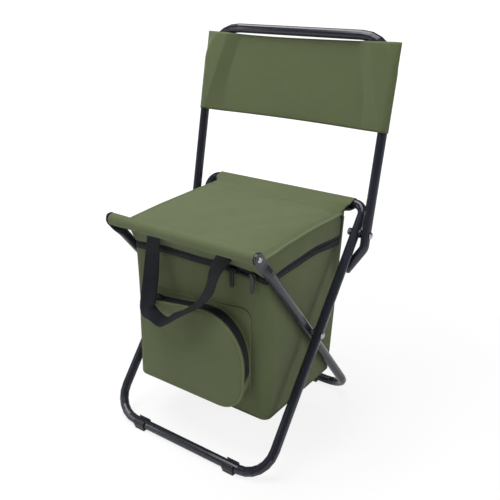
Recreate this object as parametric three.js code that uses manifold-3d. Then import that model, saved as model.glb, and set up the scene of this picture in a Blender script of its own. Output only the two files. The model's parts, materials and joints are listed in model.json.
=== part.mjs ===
// Folding stool with a zipped cooler bag under its cloth seat and a fold-down backrest.
// Millimetres, +Z up. The sitter faces -Y, and the origin is on the floor under the middle of the stool.
import * as THREE from "three";
import { mergeVertices } from "three/addons/utils/BufferGeometryUtils.js";
import Module from "manifold-3d";

const wasm = await Module();
wasm.setup();

// Steel tube
const tubeDiameter = 15;
const tubeSides = 16;
const bendSteps = 6;
const runningGap = 0.3; // between pieces that touch or turn on each other

// Height of the stool
const seatHeight = 355; // middle of the seat cloth between its hems
const rearBarAboveSeat = 4.3;
const frontBarAboveSeat = 1.5;
const backAboveSeat = 258; // top bar's axis

// Outer frame: a loop with the front foot bar at its lower end and the rear seat bar at its upper end
const outerLegX = 152.5;
const frontFootY = -152.9;
const rearBarY = 124.6;
const footBendRadius = 46;
const rearBarBendRadius = 17;

// Inner frame: a U with the rear foot bar; its leg ends are pressed flat and screwed to the front seat bar
const legGap = 1.5;
const rearFootY = 137.6;
const frontBarY = -144.8;
const paddleThickness = 3.2;
const paddleWidth = 20;
const paddleFlat = 14; // flat length below the screw
const paddleTaper = 26; // from the flat to the round tube
const barWall = 1.2;
const plugLength = 16;

// Backrest frame: an inverted U outside the outer frame, bolted to its legs, its lower ends hooked
const backGap = 3.4;
const boltBelowRearBar = 46; // along the outer leg
const backLean = 11.6; // degrees from upright
const backPlay = 7.2; // degrees that it still tips back until its hooks meet the legs
const backBendRadius = 56;
const hookAngle = 31; // degrees inward from the upright
const hookBendRadius = 18;
const hookPastLeg = 11;
const endPlugStem = 10;
const endPlugCap = 2.5;

// Rivets, bolts and screws
const shankDiameter = 6;
const rivetHeadDiameter = 11;
const rivetHeadHeight = 2.6;
const rivetHeel = 1.6; // formed end, on the inner side
const washerDiameter = 14;
const nutAcrossFlats = 10;
const nutHeight = 5;
const screwDiameter = 4.2;
const screwHeadDiameter = 9;
const screwHeadHeight = 2.4;
const screwReach = 13; // into the seat bar's plug

// Foot clips
const clipWall = 2.2;
const clipSole = 1.8; // below the tube
const clipLength = 20;
const clipSoleWidth = 15;
const clipSlot = 70; // degrees of open mouth, on top
const frontClipFromBend = 15; // along the foot bar
const rearClipFromBend = 25;

// Cloth seat
const clothThickness = 1.6;
const seatSideInset = 1; // from the bag's side
const frontHemEndGap = 1.1; // to the bar's end
const rearHemEndGap = 1.5; // to the bar's bend
const frontHemDepth = 13; // from the bar's axis to its seam
const rearHemDepth = 42.5;
const seatCornerRadius = 15;
const lidPadThickness = 4;
const lidPadInset = 7;

// Cooler bag
const bagSideGap = 2.5; // to the inner legs
const bagFrontY = -107.9;
const bagRearBottomY = 81.1;
const bagRearTopY = 114.1;
const bagBottom = 75;
const bagWall = 5;
const linerThickness = 0.8;
const bagFrontCorner = 12;
const bagRearCorner = 10;
const bagBottomRound = 7;
const lidFrontY = -127.9; // where the lid's front skirt meets the seat
const cutReach = 10; // of cutting blocks, past the bag

// Main zip, round the front and both sides
const zipBelowSeat = 51; // its lower edge
const zipHeight = 13.5;
const zipChainHeight = 4;
const zipTapeThickness = 1.4;
const zipChainThickness = 2.6;
const zipRearEndY = 93.6;
const leftSliderInset = 58; // from the bag's right side
const rightSliderInset = 22.5;
const sliderLength = 11;
const sliderWidth = 8;
const sliderHeight = 3.6;
const pullLength = 27;
const pullWidth = 6.5;
const pullThickness = 1.6;
const pullTop = 2; // above the zip's middle, where the pull turns

// Front pocket
const pocketLeftInset = 28; // from the bag's left side
const pocketRightInset = 24;
const pocketAboveFloor = 21; // over the bag's bottom
const pocketHeight = 149;
const pocketTopSlope = 16; // how much lower the top is at its left end
const pocketBigCorner = 76;
const pocketCorner = 45;
const pocketSmallCorner = 12;
const pocketDepth = 29;
const pocketWall = 2;
const pocketFrontRound = 4;
const pocketZipWidth = 9;
const pocketZipThickness = 1.2;
const pocketZipFromBag = 9;
const pocketZipDrop = 97; // from the pocket's top to the zip's lower end
const pocketSliderFromEnd = 34; // from the pocket's left side

// Carrying strap
const strapWidth = 25;
const strapThickness = 1.6;
const strapLeftInset = 52.5; // from the bag's side to the middle of a sewn end
const strapRightInset = 62.5;
const strapBelowSeat = 5; // upper edge of the ends that are sewn to the skirt
const strapSewnLength = 12.5;
const strapHang = 122; // from the sewn ends to the loop's lowest place
const strapSteps = 34;

// Backrest panel
const panelBelowTopBar = 8.5;
const panelHeight = 127.5;
const panelEdgeOver = 6.6; // past the upright's axis
const panelSleeve = 37.9; // from the upright's axis to the sleeve's seam
const panelEdgeSag = 4;
const panelBendLevels = 4; // sleeve outlines along the upright's bend

const rearBarHeight = seatHeight + rearBarAboveSeat;
const frontBarHeight = seatHeight + frontBarAboveSeat;
const backTopHeight = seatHeight + backAboveSeat;
const panelTop = backTopHeight - panelBelowTopBar;
const panelBottom = panelTop - panelHeight;
const zipBottom = seatHeight - zipBelowSeat;
const pocketBottom = bagBottom + pocketAboveFloor;
const pocketTop = pocketBottom + pocketHeight;
const pocketZipLowEnd = pocketTop - pocketZipDrop;
const strapSewnTop = seatHeight - strapBelowSeat;
const strapTop = strapSewnTop - strapSewnLength;
const strapLowest = strapTop - strapHang;
const tubeRadius = tubeDiameter / 2;
const footHeight = tubeRadius + clipSole;
const innerLegX = outerLegX - tubeDiameter - legGap;
const backLegX = outerLegX + tubeDiameter + backGap;
const frontBarEnd = innerLegX - paddleThickness / 2 - runningGap;
const frontClipX = outerLegX - footBendRadius - frontClipFromBend;
const rearClipX = innerLegX - footBendRadius - rearClipFromBend;
const bagHalfWidth = innerLegX - tubeRadius - bagSideGap;
const seatHalfWidth = bagHalfWidth - seatSideInset;
const frontHemHalf = frontBarEnd - frontHemEndGap;
const rearHemHalf = outerLegX - rearBarBendRadius - rearHemEndGap;
const leftSliderX = bagHalfWidth - leftSliderInset;
const rightSliderX = bagHalfWidth - rightSliderInset;
const pocketLeft = pocketLeftInset - bagHalfWidth;
const pocketRight = bagHalfWidth - pocketRightInset;
const pocketSliderX = pocketLeft + pocketSliderFromEnd;
const strapLeftX = strapLeftInset - bagHalfWidth;
const strapRightX = bagHalfWidth - strapRightInset;
const panelEdgeX = backLegX + panelEdgeOver;
const panelSeamX = backLegX - panelSleeve;
const radians = THREE.MathUtils.degToRad;

const steel = new THREE.MeshStandardMaterial({ color: 0x23242c, roughness: 0.32, metalness: 0.4 });
const zinc = new THREE.MeshStandardMaterial({ color: 0xb9bcc0, roughness: 0.3, metalness: 1 });
const blackPlastic = new THREE.MeshStandardMaterial({ color: 0x1c1d20, roughness: 0.55, metalness: 0 });
const cloth = new THREE.MeshStandardMaterial({ color: 0x57623c, roughness: 0.9, metalness: 0 });
const webbing = new THREE.MeshStandardMaterial({ color: 0x1f2228, roughness: 0.85, metalness: 0 });
const foil = new THREE.MeshStandardMaterial({ color: 0xc4c8ca, roughness: 0.35, metalness: 0.7 });

const stool = new THREE.Group();

function addPiece(name, geometry, material) {
  const mesh = new THREE.Mesh(geometry, material);
  mesh.name = name;
  stool.add(mesh);
  return mesh;
}

// Left and right copies of a piece that is made for the right-hand side.
function addPair(name, geometry, material) {
  addPiece(`${name}_right`, geometry, material);
  const mirrored = geometry.clone().scale(-1, 1, 1);
  addPiece(`${name}_left`, turnedInsideOut(mirrored), material);
}

function turnedInsideOut(geometry) {
  const flat = geometry.index ? geometry.toNonIndexed() : geometry;
  const places = flat.attributes.position;
  const corner = new THREE.Vector3();
  for (let i = 0; i < places.count; i += 3) {
    corner.fromBufferAttribute(places, i + 1);
    places.setXYZ(i + 1, places.getX(i + 2), places.getY(i + 2), places.getZ(i + 2));
    places.setXYZ(i + 2, corner.x, corner.y, corner.z);
  }
  return flat;
}

// Booleans

function toSolid(geometry) {
  const bare = geometry.clone();
  bare.deleteAttribute("normal");
  bare.deleteAttribute("uv");
  const merged = mergeVertices(bare, 1e-4);
  const vertProperties = new Float32Array(merged.attributes.position.array);
  const triVerts = new Uint32Array(merged.index.array);
  return new wasm.Manifold(new wasm.Mesh({ numProp: 3, vertProperties, triVerts }));
}

function toGeometry(solid) {
  const mesh = solid.getMesh();
  const places = new Float32Array(mesh.numVert * 3);
  for (let i = 0; i < mesh.numVert; i++) {
    const from = i * mesh.numProp;
    places.set(mesh.vertProperties.subarray(from, from + 3), i * 3);
  }
  const geometry = new THREE.BufferGeometry();
  geometry.setAttribute("position", new THREE.BufferAttribute(places, 3));
  geometry.setIndex(new THREE.BufferAttribute(new Uint32Array(mesh.triVerts), 1));
  return geometry;
}

function joined(...geometries) {
  return toGeometry(geometries.map(toSolid).reduce((whole, next) => whole.add(next)));
}

function cut(geometry, ...tools) {
  return toGeometry(tools.map(toSolid).reduce((rest, tool) => rest.subtract(tool), toSolid(geometry)));
}

// Basic forms

// A centre line through corner points, with a bend at each inner corner and one station per tube ring.
class BentLine extends THREE.Curve {
  constructor(corners, bendRadii, startStations = [], endStations = []) {
    super();
    this.stations = [];
    const last = corners.length - 1;
    this.addStraight(corners[0], corners[1], [0, ...startStations]);
    for (let i = 1; i < last; i++) {
      this.addBend(corners[i - 1], corners[i], corners[i + 1], bendRadii[i - 1]);
    }
    this.addStraight(corners[last], corners[last - 1], [0, ...endStations], true);
  }

  // Stations at given distances from an end of the line.
  addStraight(end, towards, distances, isLast = false) {
    const along = towards.clone().sub(end).normalize();
    const tangent = isLast ? along.clone().negate() : along;
    const ordered = isLast ? [...distances].reverse() : distances;
    for (const distance of ordered) this.addStation(end.clone().addScaledVector(along, distance), tangent);
  }

  addBend(before, corner, after, radius) {
    const arriving = corner.clone().sub(before).normalize();
    const leaving = after.clone().sub(corner).normalize();
    const turn = arriving.angleTo(leaving);
    const start = corner.clone().addScaledVector(arriving, -radius * Math.tan(turn / 2));
    const inward = leaving.clone().addScaledVector(arriving, -arriving.dot(leaving)).normalize();
    for (let step = 0; step <= bendSteps; step++) {
      const angle = (turn * step) / bendSteps;
      const place = start.clone().addScaledVector(arriving, radius * Math.sin(angle));
      place.addScaledVector(inward, radius * (1 - Math.cos(angle)));
      const turned = arriving.clone().multiplyScalar(Math.cos(angle));
      const tangent = turned.addScaledVector(inward, Math.sin(angle));
      this.addStation(place, tangent);
    }
  }

  addStation(place, tangent) {
    this.stations.push({ place, tangent });
  }

  stationAt(t) {
    return this.stations[Math.round(t * (this.stations.length - 1))];
  }

  getUtoTmapping(u) {
    return u;
  }

  getPoint(t, target = new THREE.Vector3()) {
    return target.copy(this.stationAt(t).place);
  }

  getTangent(t, target = new THREE.Vector3()) {
    return target.copy(this.stationAt(t).tangent);
  }
}

function circle(radius, x = 0, y = 0) {
  return new THREE.Shape().absarc(x, y, radius, 0, 2 * Math.PI, false);
}

function tube(line) {
  return new THREE.ExtrudeGeometry(circle(tubeRadius), {
    steps: line.stations.length - 1,
    extrudePath: line,
    curveSegments: tubeSides / 2,
  });
}

// A shape drawn in Y and Z, extruded along X from one place to another.
function alongX(shape, fromX, toX, curveSegments = 8) {
  const depth = toX - fromX;
  const geometry = new THREE.ExtrudeGeometry(shape, { depth, bevelEnabled: false, curveSegments });
  const axes = [new THREE.Vector3(0, 1, 0), new THREE.Vector3(0, 0, 1), new THREE.Vector3(1, 0, 0)];
  return geometry.applyMatrix4(new THREE.Matrix4().makeBasis(...axes)).translate(fromX, 0, 0);
}

// A shape drawn in X and Z, extruded along -Y from one place to another.
function alongFront(shape, fromY, toY, options = {}) {
  const extrusion = { depth: fromY - toY, bevelEnabled: false, curveSegments: 8, ...options };
  return new THREE.ExtrudeGeometry(shape, extrusion).rotateX(Math.PI / 2).translate(0, fromY, 0);
}

function alongZ(shape, fromZ, toZ, curveSegments = 6) {
  const extrusion = { depth: toZ - fromZ, bevelEnabled: false, curveSegments };
  return new THREE.ExtrudeGeometry(shape, extrusion).translate(0, 0, fromZ);
}

// A turned piece on an axis along X: its profile gives pairs of place along X and radius.
function turnedOnX(profile, y, z, sides = tubeSides) {
  const points = profile.map(([place, radius]) => new THREE.Vector2(radius, place));
  const turned = new THREE.LatheGeometry(points, sides);
  return turned.rotateZ(-Math.PI / 2).translate(0, y, z);
}

function pinHole(diameter, y, z, fromX, toX) {
  const radius = diameter / 2;
  return turnedOnX([[fromX, 0], [fromX, radius], [toX, radius], [toX, 0]], y, z);
}

function block(fromX, toX, fromY, toY, fromZ, toZ) {
  const box = new THREE.BoxGeometry(toX - fromX, toY - fromY, toZ - fromZ);
  return box.translate((fromX + toX) / 2, (fromY + toY) / 2, (fromZ + toZ) / 2);
}

// A closed skin over rings of points, which all have the same number of points and turn the same way.
function loft(rings) {
  const count = rings[0].length;
  const places = rings.flat();
  const faces = [];
  for (let level = 0; level + 1 < rings.length; level++) {
    for (let i = 0; i < count; i++) {
      const a = level * count + i;
      const b = level * count + ((i + 1) % count);
      faces.push(a, b, b + count, a, b + count, a + count);
    }
  }
  const topStart = (rings.length - 1) * count;
  const flat = rings.map((ring) => flatOutline(ring));
  for (const [a, b, c] of THREE.ShapeUtils.triangulateShape(flat[0], [])) faces.push(a, c, b);
  for (const [a, b, c] of THREE.ShapeUtils.triangulateShape(flat.at(-1), [])) {
    faces.push(topStart + a, topStart + b, topStart + c);
  }
  const geometry = new THREE.BufferGeometry().setFromPoints(places);
  return geometry.setIndex(faces);
}

// A ring of points in space as a counter-clockwise outline in its own plane.
function flatOutline(ring) {
  const centre = ring.reduce((sum, p) => sum.add(p), new THREE.Vector3()).divideScalar(ring.length);
  const normal = new THREE.Vector3();
  ring.forEach((p, i) => {
    const next = ring[(i + 1) % ring.length];
    normal.add(p.clone().sub(centre).cross(next.clone().sub(centre)));
  });
  normal.normalize();
  const across = ring[0].clone().sub(centre).normalize();
  const up = normal.clone().cross(across);
  return ring.map((p) => {
    const from = p.clone().sub(centre);
    return new THREE.Vector2(from.dot(across), from.dot(up));
  });
}

function roundedRectangle(fromX, toX, fromY, toY, frontRadius, rearRadius) {
  const shape = new THREE.Shape();
  shape.absarc(toX - frontRadius, fromY + frontRadius, frontRadius, -Math.PI / 2, 0);
  shape.absarc(toX - rearRadius, toY - rearRadius, rearRadius, 0, Math.PI / 2);
  shape.absarc(fromX + rearRadius, toY - rearRadius, rearRadius, Math.PI / 2, Math.PI);
  shape.absarc(fromX + frontRadius, fromY + frontRadius, frontRadius, Math.PI, 1.5 * Math.PI);
  return shape.closePath();
}

function ringAt(shape, z, cornerSteps = 3) {
  const points = shape.extractPoints(cornerSteps).shape;
  return points.map((p) => new THREE.Vector3(p.x, p.y, z));
}

// The outline of cloth drawn tight round circles: { x, y, r } each, as points turning counter-clockwise.
function wrapped(circles, count = 28) {
  return Array.from({ length: count }, (_, i) => {
    const angle = (2 * Math.PI * i) / count;
    const [ux, uy] = [Math.cos(angle), Math.sin(angle)];
    const reach = (c) => c.x * ux + c.y * uy + c.r;
    const outer = circles.reduce((best, c) => (reach(c) > reach(best) ? c : best));
    return new THREE.Vector2(outer.x + outer.r * ux, outer.y + outer.r * uy);
  });
}

// Frames in side view: places as (y, z)

const side = (y, z) => new THREE.Vector2(y, z);
const inSpace = (x, place) => new THREE.Vector3(x, place.x, place.y);
const frontFoot = side(frontFootY, footHeight);
const rearBar = side(rearBarY, rearBarHeight);
const rearFoot = side(rearFootY, footHeight);
const frontBar = side(frontBarY, frontBarHeight);
const outerLegUp = rearBar.clone().sub(frontFoot).normalize();
const innerLegUp = frontBar.clone().sub(rearFoot).normalize();

function crossing(pointA, alongA, pointB, alongB) {
  const between = pointB.clone().sub(pointA);
  return pointA.clone().addScaledVector(alongA, between.cross(alongB) / alongA.cross(alongB));
}

const scissorPivot = crossing(frontFoot, outerLegUp, rearFoot, innerLegUp);
const backBolt = rearBar.clone().addScaledVector(outerLegUp, -boltBelowRearBar);
const backUp = side(Math.sin(radians(backLean)), Math.cos(radians(backLean)));
const backPlace = (x, along) => inSpace(x, backBolt.clone().addScaledVector(backUp, along));
const backLength = (backTopHeight - backBolt.y) / backUp.y;

function outerFrameTube() {
  const weldHalf = 6;
  const closing = 7; // each half of the closing piece, just longer than the gap that it fills
  const corners = [
    inSpace(weldHalf, rearBar),
    inSpace(outerLegX, rearBar),
    inSpace(outerLegX, frontFoot),
    inSpace(-outerLegX, frontFoot),
    inSpace(-outerLegX, rearBar),
    inSpace(-weldHalf, rearBar),
  ];
  const bends = [rearBarBendRadius, footBendRadius, footBendRadius, rearBarBendRadius];
  const loop = tube(new BentLine(corners, bends));
  const weld = tube(new BentLine([inSpace(-closing, rearBar), inSpace(closing, rearBar)], []));
  const holes = [1, -1].flatMap((hand) => [
    legHole(scissorPivot, hand * outerLegX),
    legHole(backBolt, hand * outerLegX),
  ]);
  return cut(joined(loop, weld), ...holes);
}

function legHole(place, x) {
  const reach = tubeDiameter;
  return pinHole(shankDiameter + 2 * runningGap, place.x, place.y, x - reach, x + reach);
}

// The leg ends are pressed flat round the screw, with a round tip.
function innerFrameTube() {
  const tip = paddleWidth / 2;
  const legEnd = frontBar.clone().addScaledVector(innerLegUp, tip);
  const corners = [
    inSpace(innerLegX, legEnd),
    inSpace(innerLegX, rearFoot),
    inSpace(-innerLegX, rearFoot),
    inSpace(-innerLegX, legEnd),
  ];
  const flatFrom = tip + paddleFlat;
  const stations = [0.06, 0.2, 0.5, 1].map((share) => share * tip);
  const taperSteps = [0, 0.25, 0.5, 0.75, 1].map((share) => flatFrom + share * paddleTaper);
  const endStations = [...stations, ...taperSteps];
  const frame = tube(new BentLine(corners, [footBendRadius, footBendRadius], endStations, endStations));
  const places = frame.attributes.position;
  const across = side(-innerLegUp.y, innerLegUp.x);
  for (let i = 0; i < places.count; i++) {
    const inSide = side(places.getY(i), places.getZ(i)).sub(frontBar);
    const along = inSide.dot(innerLegUp);
    const press = 1 - THREE.MathUtils.smoothstep(-along, paddleFlat, paddleFlat + paddleTaper);
    const hand = Math.sign(places.getX(i));
    const fromAxis = places.getX(i) - hand * innerLegX;
    const thin = (Math.sign(fromAxis) * Math.sqrt(Math.abs(fromAxis) / tubeRadius) * paddleThickness) / 2;
    const tipShare = Math.sqrt(Math.max(0.05, 1 - Math.max(0, along / tip) ** 2));
    const wide = (inSide.dot(across) / tubeRadius) * tip * tipShare;
    const sideways = THREE.MathUtils.lerp(inSide.dot(across), wide, press);
    const pressed = frontBar.clone().addScaledVector(innerLegUp, along).addScaledVector(across, sideways);
    const x = hand * innerLegX + THREE.MathUtils.lerp(fromAxis, thin, press);
    places.setXYZ(i, x, pressed.x, pressed.y);
  }
  const screwHole = screwDiameter + 2 * runningGap;
  const holes = [1, -1].flatMap((hand) => [
    legHole(scissorPivot, hand * innerLegX),
    pinHole(
      screwHole, frontBarY, frontBarHeight,
      hand * innerLegX - tubeDiameter, hand * innerLegX + tubeDiameter,
    ),
  ]);
  return cut(frame, ...holes);
}

function frontSeatBar() {
  const bore = tubeRadius - barWall;
  const profile = [
    [-frontBarEnd, bore],
    [-frontBarEnd, tubeRadius],
    [frontBarEnd, tubeRadius],
    [frontBarEnd, bore],
    [-frontBarEnd, bore],
  ];
  return turnedOnX(profile, frontBarY, frontBarHeight);
}

function barEndPlug() {
  const outer = tubeRadius - barWall - runningGap;
  const bore = screwDiameter / 2 + runningGap;
  const from = frontBarEnd - plugLength;
  const profile = [[from, bore], [from, outer], [frontBarEnd, outer], [frontBarEnd, bore], [from, bore]];
  return turnedOnX(profile, frontBarY, frontBarHeight);
}

// A round fastener along X: a shank, a domed head at its outer end and, if wanted, a plain head at its inner end.
function fastener(place, shank, fromX, toX, headDiameter, headHeight, innerHead = 0) {
  const head = headDiameter / 2;
  const radius = shank / 2;
  const profile = [
    [fromX, 0],
    ...(innerHead ? [[fromX, head * 0.8], [fromX + innerHead, head * 0.9], [fromX + innerHead, radius]] : []),
    ...(innerHead ? [] : [[fromX, radius]]),
    [toX, radius],
    [toX, head],
    [toX + headHeight * 0.55, head * 0.86],
    [toX + headHeight * 0.9, head * 0.5],
    [toX + headHeight, 0],
  ];
  return turnedOnX(profile, place.x, place.y);
}

function barEndScrew() {
  const seat = innerLegX + paddleThickness / 2 + runningGap;
  const tip = frontBarEnd - screwReach;
  return fastener(frontBar, screwDiameter, tip, seat, screwHeadDiameter, screwHeadHeight);
}

function scissorRivet() {
  const inner = innerLegX - tubeRadius - runningGap;
  const outer = outerLegX + tubeRadius + runningGap;
  return fastener(
    scissorPivot, shankDiameter, inner - rivetHeel, outer,
    rivetHeadDiameter, rivetHeadHeight, rivetHeel,
  );
}

function washer(place, fromX, toX, diameter) {
  const bore = shankDiameter / 2 + runningGap;
  const from = fromX + runningGap;
  const to = toX - runningGap;
  const profile = [[from, bore], [from, diameter / 2], [to, diameter / 2], [to, bore], [from, bore]];
  return turnedOnX(profile, place.x, place.y);
}

function backrestBolt() {
  const from = outerLegX - tubeRadius - runningGap - nutHeight;
  const to = backLegX + tubeRadius + runningGap;
  return fastener(backBolt, shankDiameter, from, to, rivetHeadDiameter, rivetHeadHeight);
}

function backrestNut() {
  const to = outerLegX - tubeRadius - runningGap;
  const radius = nutAcrossFlats / Math.sqrt(3);
  const hexagon = Array.from({ length: 6 }, (_, i) => {
    const angle = (Math.PI * i) / 3;
    return new THREE.Vector2(backBolt.x + radius * Math.cos(angle), backBolt.y + radius * Math.sin(angle));
  });
  const nut = new THREE.Shape(hexagon);
  nut.holes.push(circle(shankDiameter / 2 + runningGap, backBolt.x, backBolt.y));
  return alongX(nut, to - nutHeight + 1, to);
}

// The upright's lower end turns inward behind the outer leg and stops the backrest when it is leaned on.
function hookPlaces() {
  const turn = radians(hookAngle);
  const legAngle = Math.abs(outerLegUp.angleTo(backUp)) - radians(backPlay);
  const apart = tubeDiameter + runningGap;
  const skew = Math.hypot(Math.sin(turn), Math.cos(turn) * Math.sin(legAngle));
  const crossingDrop = (apart * skew) / (Math.sin(turn) * Math.sin(legAngle));
  const cornerDrop = crossingDrop - (backLegX - outerLegX) / Math.tan(turn);
  const endX = outerLegX - hookPastLeg * Math.sin(turn);
  const endDrop = crossingDrop + hookPastLeg * Math.cos(turn);
  return { cornerDrop, endX, endDrop };
}

const hook = hookPlaces();

function hookEnd(hand) {
  const end = backPlace(hand * hook.endX, -hook.endDrop);
  const outward = end.clone().sub(backPlace(hand * backLegX, -hook.cornerDrop)).normalize();
  return { end, outward };
}

// A turned piece on the axis of a hook's end: pairs of place past the end and radius.
function turnedOnHook(profile, hand) {
  const { end, outward } = hookEnd(hand);
  const points = profile.map(([place, radius]) => new THREE.Vector2(radius, place));
  const turned = new THREE.LatheGeometry(points, tubeSides);
  const turn = new THREE.Quaternion().setFromUnitVectors(new THREE.Vector3(0, 1, 0), outward);
  return turned.applyQuaternion(turn).translate(end.x, end.y, end.z);
}

function backrestTube() {
  const corners = [
    hookEnd(1).end,
    backPlace(backLegX, -hook.cornerDrop),
    backPlace(backLegX, backLength),
    backPlace(-backLegX, backLength),
    backPlace(-backLegX, -hook.cornerDrop),
    hookEnd(-1).end,
  ];
  const bends = [hookBendRadius, backBendRadius, backBendRadius, hookBendRadius];
  const bore = tubeRadius - barWall;
  const depth = endPlugStem + 2;
  const boreProfile = [[-depth, 0], [-depth, bore], [1, bore], [1, 0]];
  const holes = [1, -1].flatMap((hand) => [
    legHole(backBolt, hand * backLegX),
    turnedOnHook(boreProfile, hand),
  ]);
  return cut(tube(new BentLine(corners, bends)), ...holes);
}

function hookPlug() {
  const stem = tubeRadius - barWall - runningGap;
  const profile = [
    [-endPlugStem, 0],
    [-endPlugStem, stem],
    [runningGap, stem],
    [runningGap, tubeRadius],
    [runningGap + endPlugCap * 0.6, tubeRadius * 0.85],
    [runningGap + endPlugCap, 0],
  ];
  return turnedOnHook(profile, 1);
}

// A snap-on clip whose mouth is on top and whose flat sole stands on the floor.
function footClip(place, x) {
  const inner = tubeRadius + runningGap;
  const outer = inner + clipWall;
  const mouth = radians(clipSlot) / 2;
  const open = Math.PI / 2 - mouth;
  const soleHalf = clipSoleWidth / 2;
  const soleAngle = Math.acos(soleHalf / outer);
  const shape = new THREE.Shape();
  shape.absarc(place.x, place.y, outer, Math.PI - open, Math.PI + soleAngle, false);
  shape.lineTo(place.x - soleHalf, 0);
  shape.lineTo(place.x + soleHalf, 0);
  shape.absarc(place.x, place.y, outer, -soleAngle, open, false);
  shape.absarc(place.x, place.y, inner, open, Math.PI - open, true);
  shape.closePath();
  return alongX(shape, x - clipLength / 2, x + clipLength / 2, 6);
}

// Cloth hem drawn round a bar and sewn at a seam, with the bar's tunnel inside.
function hemOutline(bar, seamY, grow = 0) {
  const layer = clothThickness / 2;
  const round = { x: bar.x, y: bar.y, r: tubeRadius + runningGap + layer + grow };
  return new THREE.Shape(wrapped([round, { x: seamY, y: seatHeight, r: layer + grow }]));
}

function hemTunnel(bar, seamY) {
  const inward = Math.sign(seamY - bar.x);
  const round = { x: bar.x, y: bar.y, r: tubeRadius + runningGap };
  const seam = { x: seamY - inward * 2 * clothThickness, y: seatHeight, r: 0.05 };
  return new THREE.Shape(wrapped([round, seam]));
}

const frontSeamY = frontBarY + frontHemDepth;
const rearSeamY = rearBarY - rearHemDepth;

function seatCover() {
  const half = clothThickness / 2;
  const front = alongX(hemOutline(frontBar, frontSeamY), -frontHemHalf, frontHemHalf);
  const rear = alongX(hemOutline(rearBar, rearSeamY), -rearHemHalf, rearHemHalf);
  const reach = seatHalfWidth + seatCornerRadius;
  const sheetHalf = Math.min(reach, frontHemHalf, rearHemHalf);
  const sheet = block(
    -sheetHalf, sheetHalf, frontSeamY - half, rearSeamY + half,
    seatHeight - half, seatHeight + half,
  );
  const far = outerLegX + seatCornerRadius;
  const tunnels = [
    alongX(hemTunnel(frontBar, frontSeamY), -far, far),
    alongX(hemTunnel(rearBar, rearSeamY), -far, far),
  ];
  const notchFrom = frontBarY + tubeRadius + 2 * clothThickness;
  const notchTo = rearBarY - tubeRadius - 4 * clothThickness;
  const notches = [1, -1].map((hand) => {
    const from = hand > 0 ? seatHalfWidth : -far;
    const to = hand > 0 ? far : -seatHalfWidth;
    const outline = roundedRectangle(from, to, notchFrom, notchTo, seatCornerRadius, seatCornerRadius);
    return alongZ(outline, seatHeight - tubeDiameter, seatHeight + tubeDiameter, 4);
  });
  return cut(joined(front, sheet, rear), ...tunnels, ...notches);
}

// The bag's outline at a height, drawn in from its outer face by an inset.
function bagOutline(z, inset = 0) {
  const share = (z - bagBottom) / (seatUnderside - bagBottom);
  const rearY = THREE.MathUtils.lerp(bagRearBottomY, bagRearTopY, share);
  return roundedRectangle(
    -bagHalfWidth + inset,
    bagHalfWidth - inset,
    bagFrontY + inset,
    rearY - inset,
    bagFrontCorner - inset,
    bagRearCorner - inset,
  );
}

const seatUnderside = seatHeight - clothThickness / 2 - runningGap;
const zipTop = zipBottom + zipHeight;

function bagShell() {
  const floorTop = bagBottom + bagWall;
  const outside = loft([
    ringAt(bagOutline(bagBottom, bagBottomRound), bagBottom),
    ringAt(bagOutline(bagBottom, bagBottomRound * 0.3), bagBottom + bagBottomRound * 0.3),
    ringAt(bagOutline(bagBottom + bagBottomRound), bagBottom + bagBottomRound),
    ringAt(bagOutline(seatUnderside), seatUnderside),
  ]);
  const inside = loft([
    ringAt(bagOutline(floorTop, bagWall), floorTop),
    ringAt(bagOutline(seatUnderside + 1, bagWall), seatUnderside + 1),
  ]);
  const wide = bagHalfWidth + cutReach;
  const front = bagFrontY - cutReach;
  const lidOpening = block(
    -wide, wide, front, zipRearEndY + runningGap,
    zipBottom - runningGap, seatUnderside + 1,
  );
  const hemRoom = alongX(hemOutline(rearBar, rearSeamY, runningGap), -wide, wide);
  return cut(outside, inside, lidOpening, hemRoom);
}

function bagLiner() {
  const inset = bagWall + runningGap;
  const floor = bagBottom + inset;
  const top = zipBottom - runningGap;
  const outside = loft([
    ringAt(bagOutline(floor, inset), floor),
    ringAt(bagOutline(top, inset), top),
  ]);
  const hollow = inset + linerThickness;
  const inside = loft([
    ringAt(bagOutline(floor + linerThickness, hollow), floor + linerThickness),
    ringAt(bagOutline(top + 1, hollow), top + 1),
  ]);
  return cut(outside, inside);
}

// A band round the front and both sides of the bag, up to the zip's rear ends.
function zipBand(fromZ, toZ, thickness) {
  const middle = zipTapeThickness / 2;
  const outer = bagOutline(zipBottom, middle - thickness / 2);
  const inner = bagOutline(zipBottom, middle + thickness / 2);
  const over = 1;
  const wide = bagHalfWidth + cutReach;
  const rear = block(-wide, wide, zipRearEndY, bagRearTopY + cutReach, fromZ - over, toZ + over);
  return cut(alongZ(outer, fromZ, toZ, 3), alongZ(inner, fromZ - over, toZ + over, 3), rear);
}

// The lid's skirt flares forward from the zip to the front of the seat.
function lidSkirt() {
  const from = zipTop + runningGap;
  const ring = (z, frontY, inset) => {
    const outline = roundedRectangle(
      -bagHalfWidth + inset,
      bagHalfWidth - inset,
      frontY + inset,
      bagRearTopY,
      bagFrontCorner - inset,
      bagRearCorner,
    );
    return ringAt(outline, z);
  };
  const outside = loft([ring(from, bagFrontY, 0), ring(seatUnderside, lidFrontY, 0)]);
  const under = 1;
  const inside = loft([
    ring(from - under, bagFrontY, clothThickness),
    ring(from, bagFrontY, clothThickness),
    ring(seatUnderside, lidFrontY, clothThickness),
    ring(seatUnderside + under, lidFrontY, clothThickness),
  ]);
  const wide = bagHalfWidth + cutReach;
  const rear = block(
    -wide, wide, zipRearEndY, bagRearTopY + cutReach,
    from - 2 * under, seatUnderside + 2 * under,
  );
  const hemRoom = alongX(hemOutline(rearBar, rearSeamY, runningGap), -wide, wide);
  return cut(outside, inside, rear, hemRoom);
}

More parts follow.
